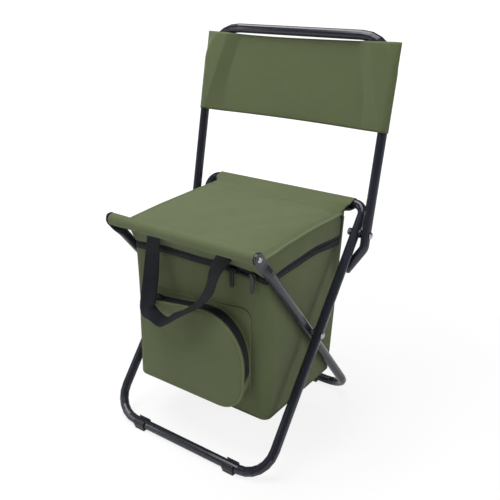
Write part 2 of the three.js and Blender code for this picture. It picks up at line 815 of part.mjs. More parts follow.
function lidPad() {
  const outline = roundedRectangle(
    -bagHalfWidth + lidPadInset,
    bagHalfWidth - lidPadInset,
    bagFrontY,
    rearSeamY - 2 * clothThickness,
    bagFrontCorner - lidPadInset,
    bagRearCorner - lidPadInset,
  );
  return alongZ(outline, seatUnderside - lidPadThickness, seatUnderside, 3);
}

// A zip slider on a vertical face that looks along -Y.
function slider(x) {
  const faceY = bagFrontY - (zipChainThickness - zipTapeThickness) / 2 - runningGap;
  const middle = zipBottom + zipHeight / 2;
  const nose = sliderWidth / 2;
  const shape = new THREE.Shape();
  shape.moveTo(x - sliderLength / 2, middle - nose);
  shape.lineTo(x + sliderLength / 2 - 2, middle - nose);
  shape.lineTo(x + sliderLength / 2, middle - nose + 2);
  shape.lineTo(x + sliderLength / 2, middle + nose - 2);
  shape.lineTo(x + sliderLength / 2 - 2, middle + nose);
  shape.lineTo(x - sliderLength / 2, middle + nose);
  return alongFront(shape.closePath(), faceY, faceY - sliderHeight);
}

// A pull tab that hangs in front of its slider, with an eye at its lower end.
function pullTab(x) {
  const backY = bagFrontY - (zipChainThickness - zipTapeThickness) / 2 - sliderHeight - 2 * runningGap;
  const half = pullWidth / 2;
  const top = zipBottom + zipHeight / 2 + pullTop;
  const low = top - pullLength;
  const shape = new THREE.Shape();
  shape.absarc(x, top - half, half, 0, Math.PI, false);
  shape.absarc(x, low + half, half, Math.PI, 2 * Math.PI, false);
  shape.closePath();
  shape.holes.push(circle(half * 0.5, x, low + pullWidth * 0.8));
  return alongFront(shape, backY, backY - pullThickness, { curveSegments: 5 });
}

// The pocket is a D: square at its left end, with one large corner at its upper right.
function pocketOutline(grow = 0) {
  const [left, right] = [pocketLeft - grow, pocketRight + grow];
  const [low, high] = [pocketBottom - grow, pocketTop + grow];
  const big = pocketBigCorner + grow;
  const small = pocketSmallCorner + grow;
  const lower = pocketCorner + grow;
  const shape = new THREE.Shape();
  shape.absarc(left + small, low + small, small, Math.PI, 1.5 * Math.PI);
  shape.absarc(right - lower, low + lower, lower, 1.5 * Math.PI, 2 * Math.PI);
  shape.absarc(right - big, high - big, big, 0, Math.PI / 2);
  shape.absarc(left + small, high - pocketTopSlope - small, small, Math.PI / 2, Math.PI);
  return shape.closePath();
}

const pocketBackY = bagFrontY - runningGap;
const pocketFrontY = bagFrontY - pocketDepth;

function frontPocket() {
  const bevel = {
    bevelEnabled: true,
    bevelThickness: pocketFrontRound,
    bevelSize: pocketFrontRound,
    bevelOffset: -pocketFrontRound,
    bevelSegments: 2,
    curveSegments: 6,
  };
  const edgeY = pocketFrontY + pocketFrontRound;
  const outside = alongFront(pocketOutline(), pocketBackY + pocketFrontRound, edgeY, bevel);
  const wide = pocketRight - pocketLeft;
  const behind = block(-wide, wide, pocketBackY, pocketBackY + pocketDepth, 0, pocketTop + wide);
  const innerY = pocketFrontY + pocketWall;
  const inside = alongFront(pocketOutline(-pocketWall), pocketBackY + 1, innerY, { curveSegments: 6 });
  return cut(outside, behind, inside);
}

// The pocket's zip lies on its side wall, along the top and down the right.
function pocketZip() {
  const fromY = bagFrontY - pocketZipFromBag;
  const toY = fromY - pocketZipWidth;
  const outer = alongFront(pocketOutline(runningGap + pocketZipThickness), fromY, toY, { curveSegments: 6 });
  const inner = alongFront(pocketOutline(runningGap), fromY + 1, toY - 1, { curveSegments: 6 });
  const reach = 2 * cutReach;
  const lower = block(
    pocketLeft - reach, pocketRight + reach, toY - 2, fromY + 2,
    pocketBottom - reach, pocketZipLowEnd,
  );
  const endX = pocketLeft + pocketSmallCorner;
  const left = block(pocketLeft - reach, endX, toY - 2, fromY + 2, pocketBottom - reach, pocketTop + reach);
  return cut(outer, inner, lower, left);
}

// The pocket's slider and its pull lie on the sloping top of the pocket.
function onPocketTop(geometry) {
  const cornerX = pocketRight - pocketBigCorner;
  const endX = pocketLeft + pocketSmallCorner;
  const slope = Math.atan2(pocketTopSlope, cornerX - endX);
  const lift = runningGap + pocketZipThickness + runningGap;
  const height = pocketTop - (cornerX - pocketSliderX) * Math.tan(slope) + lift / Math.cos(slope);
  const y = bagFrontY - pocketZipFromBag - pocketZipWidth / 2;
  return geometry.rotateY(-slope).translate(pocketSliderX, y, height);
}

function pocketSlider() {
  const half = sliderWidth / 2;
  const shape = new THREE.Shape();
  shape.moveTo(-sliderLength / 2, -half);
  shape.lineTo(sliderLength / 2 - 2, -half);
  shape.lineTo(sliderLength / 2, -half + 2);
  shape.lineTo(sliderLength / 2, half - 2);
  shape.lineTo(sliderLength / 2 - 2, half);
  shape.lineTo(-sliderLength / 2, half);
  return onPocketTop(alongZ(shape.closePath(), 0, sliderHeight));
}

function pocketPull() {
  const half = pullWidth / 2;
  const shape = new THREE.Shape();
  shape.absarc(pullTop - half, 0, half, -Math.PI / 2, Math.PI / 2, false);
  shape.absarc(pullTop - pullLength + half, 0, half, Math.PI / 2, 1.5 * Math.PI, false);
  shape.closePath();
  shape.holes.push(circle(half * 0.5, pullTop - pullLength + pullWidth * 0.8, 0));
  const from = sliderHeight + runningGap;
  return onPocketTop(alongZ(shape, from, from + pullThickness, 5));
}

// A sewn end of the strap lies flat on the front of the skirt.
function strapEnd(x) {
  const low = strapTop + runningGap;
  const shape = new THREE.Shape();
  shape.moveTo(strapBackAt(low) - strapThickness, low);
  shape.lineTo(strapBackAt(low), low);
  shape.lineTo(strapBackAt(strapSewnTop), strapSewnTop);
  shape.lineTo(strapBackAt(strapSewnTop) - strapThickness, strapSewnTop);
  return alongX(shape.closePath(), x - strapWidth / 2, x + strapWidth / 2);
}

function strapBackAt(z) {
  return lidSkirtFrontAt(z) - 2 * runningGap;
}

// The strap hangs as a loop in front of the pocket and turns over on its way. Each stop on its route is a place,
// as shares across, forward and up, and the way that the strap's width points there.
const strapRoute = [
  { place: [-1, 0, 1], across: [1, 0, 0] },
  { place: [-1, 0.04, 0.93], across: [1, 0, 0] },
  { place: [-0.97, 0.34, 0.48], across: [1, 0.25, 0] },
  { place: [-0.93, 0.72, 0.24], across: [0.95, 0.4, 0] },
  { place: [-0.86, 0.96, 0.05], across: [0.8, 0.6, 0.1] },
  { place: [-0.62, 1, 0], across: [0.25, 0.7, 0.65] },
  { place: [-0.35, 1, 0.03], across: [0, 0.8, 0.6] },
  { place: [0.24, 1, 0.24], across: [-0.1, 1, 0] },
  { place: [0.74, 0.66, 0.56], across: [-0.5, 0.85, 0] },
  { place: [0.92, 0.3, 0.85], across: [-0.7, 0.7, 0] },
  { place: [1, 0.04, 0.94], across: [-1, 0, 0] },
  { place: [1, 0, 1], across: [-1, 0, 0] },
];

function strapPlace([share, depth, height]) {
  const topY = strapBackAt(strapTop) - strapThickness / 2;
  const lowY = pocketFrontY - 2 * runningGap - strapWidth / 2;
  const x = THREE.MathUtils.lerp(strapLeftX, strapRightX, (share + 1) / 2);
  const z = THREE.MathUtils.lerp(strapLowest, strapTop, height);
  return new THREE.Vector3(x, THREE.MathUtils.lerp(topY, lowY, depth), z);
}

function lidSkirtFrontAt(z) {
  return THREE.MathUtils.mapLinear(z, zipTop, seatUnderside, bagFrontY, lidFrontY);
}

function carryStrap() {
  const line = new THREE.CatmullRomCurve3(strapRoute.map((stop) => strapPlace(stop.place)));
  const facing = new THREE.CatmullRomCurve3(strapRoute.map((stop) => new THREE.Vector3(...stop.across)));
  const rings = [];
  for (let step = 0; step <= strapSteps; step++) {
    const t = line.getUtoTmapping(step / strapSteps);
    const place = line.getPoint(t);
    const along = line.getTangent(t);
    const across = facing.getPoint(t);
    across.addScaledVector(along, -across.dot(along)).normalize();
    const through = along.clone().cross(across);
    const corner = (a, t) => {
      const point = place.clone().addScaledVector(across, (a * strapWidth) / 2);
      return point.addScaledVector(through, (t * strapThickness) / 2);
    };
    rings.push([corner(-1, -1), corner(1, -1), corner(1, 1), corner(-1, 1)]);
  }
  return loft(rings);
}

// The panel's middle is one cloth with hollowed edges, and each side is a sleeve drawn round its upright.
function backrestPanel() {
  const along = (height) => (height - backBolt.y) / backUp.y;
  const from = along(panelBottom);
  const to = along(panelTop);
  const half = clothThickness / 2;
  const sheet = new THREE.Shape();
  sheet.moveTo(-panelSeamX, from);
  sheet.quadraticCurveTo(0, from + panelEdgeSag, panelSeamX, from);
  sheet.lineTo(panelSeamX, to);
  sheet.quadraticCurveTo(0, to - 2 * panelEdgeSag, -panelSeamX, to);
  const onBack = (geometry) => {
    const across = new THREE.Vector3(0, -backUp.y, backUp.x);
    const axes = [new THREE.Vector3(1, 0, 0), new THREE.Vector3(0, backUp.x, backUp.y), across];
    const turn = new THREE.Matrix4().makeBasis(...axes);
    return geometry.applyMatrix4(turn).translate(0, backBolt.x, backBolt.y);
  };
  const sheetSolid = onBack(alongZ(sheet.closePath(), -half, half, 8));
  const bendStart = backLength - backBendRadius;
  const sleeve = (hand, hollow) => {
    const over = hollow ? 1 : 0;
    const bendLevels = Array.from({ length: panelBendLevels }, (_, i) => {
      return THREE.MathUtils.lerp(bendStart, to + over, i / (panelBendLevels - 1));
    });
    return onBack(loft([from - over, ...bendLevels].map((level) => sleeveRing(hand, level, hollow))));
  };
  const sleeves = [1, -1].map((hand) => sleeve(hand, false));
  const hollows = [1, -1].map((hand) => sleeve(hand, true));
  return cut(joined(sheetSolid, ...sleeves), ...hollows);
}

// The sleeve's outline at a place along the back: cloth drawn round the tube, from the seam to the outer edge.
function sleeveRing(hand, along, hollow) {
  const play = 2 * runningGap;
  const half = clothThickness / 2;
  const rise = Math.max(0, along - (backLength - backBendRadius));
  const bendCentre = backLegX - backBendRadius;
  const outerX = bendCentre + Math.sqrt((backBendRadius + tubeRadius) ** 2 - rise ** 2) - tubeRadius;
  const innerRadius = backBendRadius - tubeRadius;
  const innerX = bendCentre + Math.sqrt(Math.max(0, innerRadius ** 2 - rise ** 2)) + tubeRadius;
  const round = tubeRadius + play + (hollow ? 0 : half);
  const flat = hollow ? 0.1 : half;
  const inset = hollow ? clothThickness : 0;
  const outline = wrapped([
    { x: outerX, y: 0, r: round },
    { x: innerX, y: 0, r: round },
    { x: panelEdgeX - half - inset, y: 0, r: flat },
    { x: panelSeamX + 2 * inset, y: 0, r: flat },
  ]);
  const ring = outline.map((p) => new THREE.Vector3(hand * p.x, along, p.y));
  return hand > 0 ? ring.reverse() : ring;
}

addPiece("outer_frame_tube", outerFrameTube(), steel);
addPiece("inner_frame_tube", innerFrameTube(), steel);
addPiece("backrest_tube", backrestTube(), steel);
addPiece("front_seat_bar", frontSeatBar(), steel);
addPair("bar_end_plug", barEndPlug(), blackPlastic);
addPair("bar_end_screw", barEndScrew(), zinc);
addPair("scissor_rivet", scissorRivet(), zinc);
const crossingWasher = washer(scissorPivot, innerLegX + tubeRadius, outerLegX - tubeRadius, washerDiameter);
addPair("scissor_washer", crossingWasher, zinc);
addPair("backrest_bolt", backrestBolt(), zinc);
const backSpacer = washer(backBolt, outerLegX + tubeRadius, backLegX - tubeRadius, washerDiameter);
addPair("backrest_spacer", backSpacer, blackPlastic);
addPair("backrest_nut", backrestNut(), zinc);
addPair("hook_plug", hookPlug(), blackPlastic);
addPair("front_foot_clip", footClip(frontFoot, frontClipX), blackPlastic);
addPair("rear_foot_clip", footClip(rearFoot, rearClipX), blackPlastic);
addPiece("backrest_panel", backrestPanel(), cloth);
addPiece("seat_cover", seatCover(), cloth);
addPiece("lid_skirt", lidSkirt(), cloth);
addPiece("lid_pad", lidPad(), foil);
addPiece("bag_shell", bagShell(), cloth);
addPiece("bag_liner", bagLiner(), foil);
const chainBottom = zipBottom + (zipHeight - zipChainHeight) / 2;
const chainTop = chainBottom + zipChainHeight;
addPiece("zip_tape_lower", zipBand(zipBottom, chainBottom - runningGap, zipTapeThickness), webbing);
addPiece("zip_chain", zipBand(chainBottom, chainTop, zipChainThickness), blackPlastic);
addPiece("zip_tape_upper", zipBand(chainTop + runningGap, zipTop, zipTapeThickness), webbing);
addPiece("zip_slider_left", slider(leftSliderX), blackPlastic);
addPiece("zip_slider_right", slider(rightSliderX), blackPlastic);
addPiece("zip_pull_left", pullTab(leftSliderX), blackPlastic);
addPiece("zip_pull_right", pullTab(rightSliderX), blackPlastic);
addPiece("front_pocket", frontPocket(), cloth);
addPiece("pocket_zip", pocketZip(), webbing);
addPiece("pocket_slider", pocketSlider(), blackPlastic);
addPiece("pocket_pull", pocketPull(), blackPlastic);
addPiece("strap_end_left", strapEnd(strapLeftX), webbing);
addPiece("strap_end_right", strapEnd(strapRightX), webbing);
addPiece("carry_strap", carryStrap(), webbing);

export default stool;
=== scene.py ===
import itertools
import json
import math

import bpy
import numpy as np
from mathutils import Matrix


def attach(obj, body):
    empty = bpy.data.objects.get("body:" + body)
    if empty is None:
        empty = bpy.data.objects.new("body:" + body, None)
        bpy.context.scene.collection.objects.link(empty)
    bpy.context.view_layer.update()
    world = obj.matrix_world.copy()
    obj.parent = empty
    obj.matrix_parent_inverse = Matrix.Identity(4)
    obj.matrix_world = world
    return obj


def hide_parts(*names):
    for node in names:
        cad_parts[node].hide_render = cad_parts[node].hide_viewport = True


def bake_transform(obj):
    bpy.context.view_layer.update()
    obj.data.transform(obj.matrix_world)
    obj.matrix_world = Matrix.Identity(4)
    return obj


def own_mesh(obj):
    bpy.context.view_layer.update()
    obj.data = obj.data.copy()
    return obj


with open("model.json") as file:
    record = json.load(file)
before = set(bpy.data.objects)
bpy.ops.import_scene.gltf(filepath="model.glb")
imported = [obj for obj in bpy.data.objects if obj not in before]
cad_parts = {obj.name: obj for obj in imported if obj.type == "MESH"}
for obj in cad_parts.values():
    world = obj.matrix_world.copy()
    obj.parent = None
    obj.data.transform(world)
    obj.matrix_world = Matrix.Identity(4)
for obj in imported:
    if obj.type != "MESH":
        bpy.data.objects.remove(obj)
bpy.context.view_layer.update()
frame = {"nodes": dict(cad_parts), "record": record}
nodes = frame["nodes"]
MM = 0.001

# Places of the solids, in millimetres
FRONT_BAR = np.array([-144.8, 356.5])
REAR_BAR = np.array([124.6, 359.3])
SEAT_Z, LAYER = 355.0, 1.5
FRONT_SEAM_Y, REAR_SEAM_Y = -131.8, 82.1
FRONT_HEM_HALF, REAR_HEM_HALF, SEAT_HALF = 133.0, 134.0, 125.0
NOTCH_FRONT_Y, NOTCH_REAR_Y, NOTCH_RADIUS = -134.1, 110.7, 15.0
HEM_RADIUS = 8.35
BAG_HALF, BAG_FRONT_Y = 126.0, -107.9
BAG_REAR_BOTTOM_Y, BAG_REAR_TOP_Y = 81.1, 114.1
BAG_BOTTOM, BAG_WALL, BAG_TOP = 75.0, 5.0, 353.9
REAR_WALL_TOP, BAG_CENTRE = 347.5, np.array([0, -11.0])
FACING_BOTTOM, FACING_TOP, FACING_INSET = 291.0, 349.5, 7.6
LEFT_CORNER, RIGHT_CORNER, REAR_CORNER, BOTTOM_ROUND = 8.0, 12.0, 10.0, 7.0
ZIP_BOTTOM, ZIP_TOP, ZIP_REAR_Y = 304.0, 317.5, 93.6
LID_FRONT_Y = -127.9
POCKET_LEFT, POCKET_RIGHT, POCKET_BOTTOM, POCKET_TOP = -98.0, 102.0, 96.0, 245.0
POCKET_SLOPE, POCKET_FRONT_Y, POCKET_ZIP_END = 16.0, -136.9, 148.0
STRAP_WIDTH, STRAP_THICK = 25.0, 1.6
STRAP_LEFT_X, STRAP_RIGHT_X = -73.5, 63.5
STRAP_TOP, STRAP_LOWEST, STRAP_SEWN_TOP = 337.5, 215.5, 350.0
BACK_BOLT = np.array([96.02, 323.25])
BACK_LEAN = math.radians(11.6)
BACK_LEG_X, BACK_BEND, TUBE_RADIUS, SLEEVE_RADIUS = 170.9, 56.0, 7.5, 8.75
PANEL_BOTTOM, PANEL_TOP, PANEL_EDGE_X, PANEL_SEAM_X = 477.0, 604.5, 179.6, 133.0
BACK_TOP = 613.0


def smooth(x, low, high):
    t = np.clip((np.asarray(x, float) - low) / (high - low), 0, 1)
    return t * t * (3 - 2 * t)


def ease(at, knots, values):
    """Passes through the values, level at each knot."""
    knots, values = np.asarray(knots, float), np.asarray(values, float)
    i = np.clip(np.searchsorted(knots, at) - 1, 0, len(knots) - 2)
    share = smooth((np.asarray(at, float) - knots[i]) / (knots[i + 1] - knots[i]), 0, 1)
    return values[i] + (values[i + 1] - values[i]) * share


def between(x, a, b, c, d):
    """Rises from a to b and falls from c to d."""
    return smooth(x, a, b) * (1 - smooth(x, c, d))


def bell(x, middle, width):
    return np.exp(-((x - middle) / width) ** 2)


def hump(x):
    return np.cos(np.pi * np.clip(x, -0.5, 0.5))


def unit(rows):
    return rows / np.linalg.norm(rows, axis=-1, keepdims=True)


def loop(points):
    return np.concatenate([points, points[:1]])


def ways(path, closed=False):
    """Unit directions along a path."""
    if closed:
        return unit(np.roll(path, -1, 0) - np.roll(path, 1, 0))
    return unit(np.gradient(path, axis=0))


def outward(path, closed=False):
    """Unit directions along a flat path, and out from it."""
    along = ways(path, closed)
    return along, np.column_stack([along[:, 1], -along[:, 0]])


def lengths(path):
    """Length along the path to each of its points."""
    return np.append(0, np.cumsum(np.linalg.norm(np.diff(path, axis=0), axis=1)))


def sample(rows, ends, at):
    """Rows that stand at the lengths in ends, found at other lengths."""
    return np.column_stack([np.interp(at, ends, column) for column in rows.T])


# Materials

class Material:
    def __init__(self, name):
        self.material = bpy.data.materials.new(name)
        self.material.use_nodes = True
        self.tree = self.material.node_tree
        self.tree.nodes.clear()
        self.shader = self.node("ShaderNodeBsdfPrincipled")
        self.output = self.node("ShaderNodeOutputMaterial", {"Surface": self.shader.outputs[0]})

    def node(self, kind, inputs=None, **settings):
        made = self.tree.nodes.new(kind)
        for key, value in settings.items():
            setattr(made, key, value)
        for key, value in (inputs or {}).items():
            self.put(made.inputs[key], value)
        return made

    def put(self, socket, value):
        if isinstance(value, bpy.types.NodeSocket):
            self.tree.links.new(value, socket)
        else:
            socket.default_value = value

    def set(self, **values):
        for key, value in values.items():
            self.put(self.shader.inputs[key.replace("_", " ")], value)

    def math(self, operation, *values):
        return self.node("ShaderNodeMath", dict(enumerate(values)), operation=operation).outputs[0]

    def times(self, a, b):
        return self.math("MULTIPLY", a, b)

    def mix(self, share, a, b):
        return self.node("ShaderNodeMix", {0: share, 6: a, 7: b}, data_type="RGBA").outputs[2]

    def ramp(self, value, low, high, to_low=0.0, to_high=1.0):
        inputs = dict(enumerate((value, low, high, to_low, to_high)))
        return self.node("ShaderNodeMapRange", inputs, clamp=True).outputs[0]

    def places(self, kind="Object"):
        return self.node("ShaderNodeTexCoord").outputs[kind]

    def noise(self, scale, detail=3.0):
        inputs = {"Vector": self.places(), "Scale": scale, "Detail": detail}
        return self.node("ShaderNodeTexNoise", inputs).outputs["Fac"]

    def cloud(self, scale, detail=3.0, low=0.0, high=1.0):
        """Soft unevenness from low to high."""
        return self.ramp(self.noise(scale, detail), 0.3, 0.7, low, high)

    def bump(self, height, distance, strength=1.0, normal=None):
        inputs = {"Strength": strength, "Distance": distance, "Height": height}
        if normal is not None:
            inputs["Normal"] = normal
        return self.node("ShaderNodeBump", inputs).outputs[0]

    def weave(self, pitch_u, pitch_v):
        """Height of a plain weave on the UV map, which is in metres."""
        split = self.node("ShaderNodeSeparateXYZ", {0: self.places("UV")})
        across, along = (self.math("SINE", self.times(place, math.pi / pitch))
                         for place, pitch in zip(split.outputs, (pitch_u, pitch_v)))
        over = self.math("GREATER_THAN", self.times(across, along), 0.0)
        warp = self.times(over, self.math("ABSOLUTE", across))
        weft = self.times(self.math("SUBTRACT", 1.0, over), self.math("ABSOLUTE", along))
        return self.math("ADD", warp, weft), over


def cloth_material(name, colour, pitch=0.0008):
    m = Material(name)
    tone = lambda share, more=0.0: [c * share + more for c in colour] + [1]
    height, over = m.weave(pitch, pitch)
    yarn = m.mix(m.ramp(height, 0.2, 1.0), tone(0.8), tone(1.1))
    tinted = m.mix(m.times(over, 0.12), yarn, tone(1.3))
    worn = m.ramp(m.noise(9.0, 5.0), 0.3, 0.75)
    m.set(Base_Color=m.mix(m.times(worn, 0.35), tinted, tone(1.18, 0.006)))
    m.set(Roughness=m.cloud(60.0, low=0.78, high=0.92))
    m.set(Sheen_Weight=0.12, Sheen_Roughness=0.45, Specular_IOR_Level=0.25)
    slubs = m.bump(m.noise(420.0, 2.0), 0.0003, 0.35)
    m.set(Normal=m.bump(height, 0.00018, 0.7, slubs))
    return m.material


def webbing_material():
    m = Material("black_webbing")
    height, _ = m.weave(0.0011, 0.0019)
    colour = m.mix(m.ramp(height, 0.1, 1.0), [0.0045, 0.005, 0.0075, 1], [0.014, 0.0155, 0.022, 1])
    fuzz = m.ramp(m.noise(900.0, 2.0), 0.45, 0.75)
    m.set(Base_Color=m.mix(m.times(fuzz, 0.25), colour, [0.024, 0.026, 0.032, 1]))
    m.set(Roughness=m.cloud(80.0, low=0.62, high=0.8))
    m.set(Sheen_Weight=0.03, Specular_IOR_Level=0.3)
    m.set(Normal=m.bump(height, 0.0003, 0.8))
    return m.material


def tube_material():
    m = Material("coated_tube")
    coat = m.mix(m.cloud(25.0, 4.0), [0.0190, 0.0205, 0.0310, 1], [0.0240, 0.0255, 0.0380, 1])
    scuffs = m.ramp(m.noise(700.0, 6.0), 0.68, 0.78)
    rubbed = m.times(scuffs, m.ramp(m.noise(14.0, 2.0), 0.5, 0.7))
    m.set(Base_Color=m.mix(m.times(rubbed, 0.4), coat, [0.05, 0.05, 0.06, 1]))
    m.set(Roughness=m.cloud(40.0, 4.0, 0.17, 0.24))
    m.set(Specular_IOR_Level=0.32, Coat_Weight=0.3, Coat_Roughness=0.07)
    m.set(Normal=m.bump(m.noise(650.0, 2.0), 0.00008, 0.05))
    return m.material


def zinc_material():
    m = Material("bright_zinc")
    m.set(Base_Color=m.mix(m.cloud(300.0, 4.0), [0.38, 0.39, 0.41, 1], [0.56, 0.57, 0.59, 1]))
    m.set(Metallic=1.0, Roughness=m.cloud(500.0, low=0.22, high=0.4))
    m.set(Normal=m.bump(m.noise(900.0, 3.0), 0.0001, 0.3))
    return m.material


def plastic_material(name, low, high, rough):
    m = Material(name)
    m.set(Base_Color=m.mix(m.cloud(120.0, 4.0), low + [1], high + [1]))
    m.set(Roughness=m.cloud(200.0, low=rough, high=rough + 0.14))
    m.set(Normal=m.bump(m.noise(1500.0, 2.0), 0.00012, 0.5))
    return m.material


def lining_material():
    m = Material("reflective_lining")
    cells = m.node("ShaderNodeTexVoronoi", {"Vector": m.places(), "Scale": 90.0}, feature="DISTANCE_TO_EDGE")
    # Crinkle creases of the foil shape the bump, and the colour is darker along them, which is painted shade
    # in the creases.
    crease_and_painted_shade = m.ramp(cells.outputs["Distance"], 0.0, 0.12)
    m.set(Base_Color=m.mix(crease_and_painted_shade, [0.42, 0.44, 0.46, 1], [0.66, 0.68, 0.7, 1]))
    m.set(Metallic=0.75, Roughness=m.cloud(70.0, low=0.24, high=0.42))
    m.set(Normal=m.bump(m.math("ADD", crease_and_painted_shade, m.noise(60.0, 4.0)), 0.0008, 0.7))
    return m.material


GREEN = (0.118, 0.143, 0.066)
cloth = cloth_material("olive_cloth", GREEN)
# The piping's colour is the cloth's made 1.25 times lighter: a painted highlight for the light its raised
# lip catches.
piping_cloth_painted_highlight = cloth_material("olive_piping_painted_highlight", [c * 1.25 for c in GREEN], 0.0006)
thread = cloth_material("olive_thread", [c * 1.35 for c in GREEN], 0.0005)
webbing = webbing_material()
dark_thread = plastic_material("black_thread", [0.012, 0.013, 0.016], [0.03, 0.032, 0.038], 0.6)
coated = tube_material()
zinc = zinc_material()
plastic = plastic_material("black_plastic", [0.010, 0.0105, 0.012], [0.020, 0.021, 0.024], 0.36)
lining = lining_material()

# The looks in each slot; the first is also that of its solids
LOOKS = {
    "coated_tube": [coated],
    "zinc": [zinc],
    "black_plastic": [plastic],
    "green_cloth": [cloth, piping_cloth_painted_highlight, thread],
    "webbing": [webbing, dark_thread],
    "lining": [lining],
}
for part in frame["record"]["subparts"]:
    mesh = nodes[part["node"]].data
    mesh.materials.clear()
    mesh.materials.append(LOOKS[part["material_slot"]][0])


# Mesh building

ROPE_SIDES = 8
STITCH_WIDTH, STITCH_HEIGHT, STITCH_SUNK = 0.75, 0.45, 0.3
STITCH_FACES = [(0, 3, 2), (0, 4, 3), (1, 5, 6), (1, 6, 7),
                (2, 3, 6, 5), (3, 4, 7, 6), (0, 2, 5, 1), (0, 1, 7, 4)]
BLOCK_FACES = [(3, 2, 1, 0), (4, 5, 6, 7), (0, 1, 5, 4), (1, 2, 6, 5), (2, 3, 7, 6), (3, 0, 4, 7)]


def new_object(name, data):
    made = bpy.data.objects.new(name, data)
    bpy.context.scene.collection.objects.link(made)
    return made


class Build:
    """Collects surfaces, in millimetres, and makes one object of them."""

    def __init__(self):
        self.points, self.faces, self.uvs, self.count = [], [], [], 0

    def add(self, points, faces, uvs=None):
        self.points.append(np.asarray(points, float).reshape(-1, 3))
        self.faces += [tuple(i + self.count for i in f) for f in faces]
        self.uvs += uvs or [[(0, 0)] * len(f) for f in faces]
        self.count += len(self.points[-1])

    def grid(self, points, wrap=False, flip=False):
        """Rows of points; wrap joins the last column to the first. UVs are lengths in metres."""
        rows, cols = points.shape[:2]
        closed = np.concatenate([points, points[:, :1]], 1) if wrap else points
        steps = lambda p, axis: np.linalg.norm(np.diff(p, axis=axis), axis=2).mean(1 - axis)
        u, v = (np.append(0, np.cumsum(s)) * MM for s in (steps(closed, 1), steps(points, 0)))
        faces, uvs = [], []
        for i in range(rows - 1):
            for j in range(cols if wrap else cols - 1):
                k = (j + 1) % cols
                face = [i * cols + j, i * cols + k, (i + 1) * cols + k, (i + 1) * cols + j]
                place = [(u[j], v[i]), (u[j + 1], v[i]), (u[j + 1], v[i + 1]), (u[j], v[i + 1])]
                faces.append(face[::-1] if flip else face)
                uvs.append(place[::-1] if flip else place)
        self.add(points, faces, uvs)

    def rope(self, path, radius, closed=False):
        tangents = ways(path, closed)
        normal = np.cross(tangents[0], (0.3, 0.5, 0.81))
        angles = np.linspace(0, 2 * math.pi, ROPE_SIDES, endpoint=False)
        circle = radius * np.column_stack([np.cos(angles), np.sin(angles)])
        rings = []
        for place, along in zip(path, tangents):
            normal = unit(normal - along * (normal @ along))
            rings.append(place + circle @ np.array([normal, np.cross(along, normal)]))
        if closed:
            rings.append(rings[0])
        else:
            rings.insert(0, path[0] + (rings[0] - path[0]) * 0.1)
            rings.append(path[-1] + (rings[-1] - path[-1]) * 0.1)
        self.grid(np.array(rings), wrap=True)

    def stitches(self, path, normals, length=3.0, gap=1.1):
        normals = np.broadcast_to(np.asarray(normals, float), path.shape)
        ends = lengths(path)
        starts = gap / 2 + (length + gap) * np.arange(int(ends[-1] / (length + gap)))
        spots = [sample(rows, ends, starts + length * share)
                 for rows, share in ((path, 0), (path, 1), (normals, 0.5))]
        for a, b, up in zip(*spots):
            side = np.cross(up, unit(b - a)) * STITCH_WIDTH / 2
            low, high = up * -STITCH_SUNK, up * STITCH_HEIGHT
            points = [a + low, b + low]
            for t in (0.75, 0.25):
                m = a * t + b * (1 - t)
                points += [m + side + low, m + high, m - side + low]
            self.add(points, STITCH_FACES)

    def blocks(self, places, along, up, out, size):
        """Small blocks with a narrowed outer face, such as zip teeth."""
        long, tall, thick = np.asarray(size) / 2
        for place, a, o in zip(places, along, out):
            points = [place + a * long * s * pinch + up * tall * h * pinch + o * thick * t
                      for t, pinch in ((-1, 1.0), (1, 0.7))
                      for s, h in ((-1, -1), (1, -1), (1, 1), (-1, 1))]
            self.add(points, BLOCK_FACES)

    def make(self, name, material, shade=True, solid=0.0, merge=0.0):
        mesh = bpy.data.meshes.new(name)
        mesh.from_pydata([tuple(p) for p in np.concatenate(self.points) * MM], [], self.faces)
        layer = mesh.uv_layers.new(name="UVMap")
        layer.data.foreach_set("uv", np.array([c for f in self.uvs for c in f], np.float32).ravel())
        mesh.materials.append(material)
        mesh.polygons.foreach_set("use_smooth", [shade] * len(mesh.polygons))
        made = new_object(name, mesh)
        if merge:
            weld = made.modifiers.new("weld", "WELD")
            weld.merge_threshold = merge * MM
        if solid:
            shell = made.modifiers.new("cloth", "SOLIDIFY")
            shell.thickness = solid * MM
            shell.offset = 0.0
        if merge or solid:
            bpy.context.view_layer.update()
            seen = made.evaluated_get(bpy.context.evaluated_depsgraph_get())
            made.data = bpy.data.meshes.new_from_object(seen)
            made.modifiers.clear()
        return made


def grid_piece(name, rows, material, wrap=False, flip=False, **finish):
    """A piece of one surface, from rows of points."""
    build = Build()
    build.grid(np.array(rows), wrap, flip)
    return build.make(name, material, **finish)


def stitching(name, seams, look=thread):
    """Each seam holds what Build.stitches takes."""
    build = Build()
    for seam in seams:
        build.stitches(*seam)
    return build.make(name, look)


def fold_flat(piece, body):
    """A soft piece of the bag, attached to its body, with a mesh of its own."""
    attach(piece, body)
    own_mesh(piece)


def between_bars(piece):
    """Seat cloth: its placement is baked into its mesh."""
    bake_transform(piece)


def waves(x, y, seed, scale):
    """Smooth unevenness, about -1 to 1."""
    rng = np.random.default_rng(seed)
    total = np.zeros(np.broadcast(x, y).shape)
    for _ in range(7):
        angle, phase = rng.uniform(0, 2 * math.pi, 2)
        size = scale * rng.uniform(0.6, 1.8)
        total = total + np.sin((x * math.cos(angle) + y * math.sin(angle)) * 2 * math.pi / size + phase)
    return total / 3.2


# Seat cloth: one strip, hemmed round both seat bars

def arc(centre, radius, start, end, count):
    angles = np.linspace(start, end, count)
    return np.stack([centre[0] + radius * np.cos(angles), centre[1] + radius * np.sin(angles)], 1)


def tangent_angles(centre, radius, point):
    way = point - centre
    middle = math.atan2(way[1], way[0])
    reach = math.acos(radius / np.hypot(*way))
    return middle + reach, middle - reach


def line(a, b, spacing):
    count = max(2, int(np.hypot(*(b - a)) / spacing) + 1)
    return np.linspace(a, b, count)


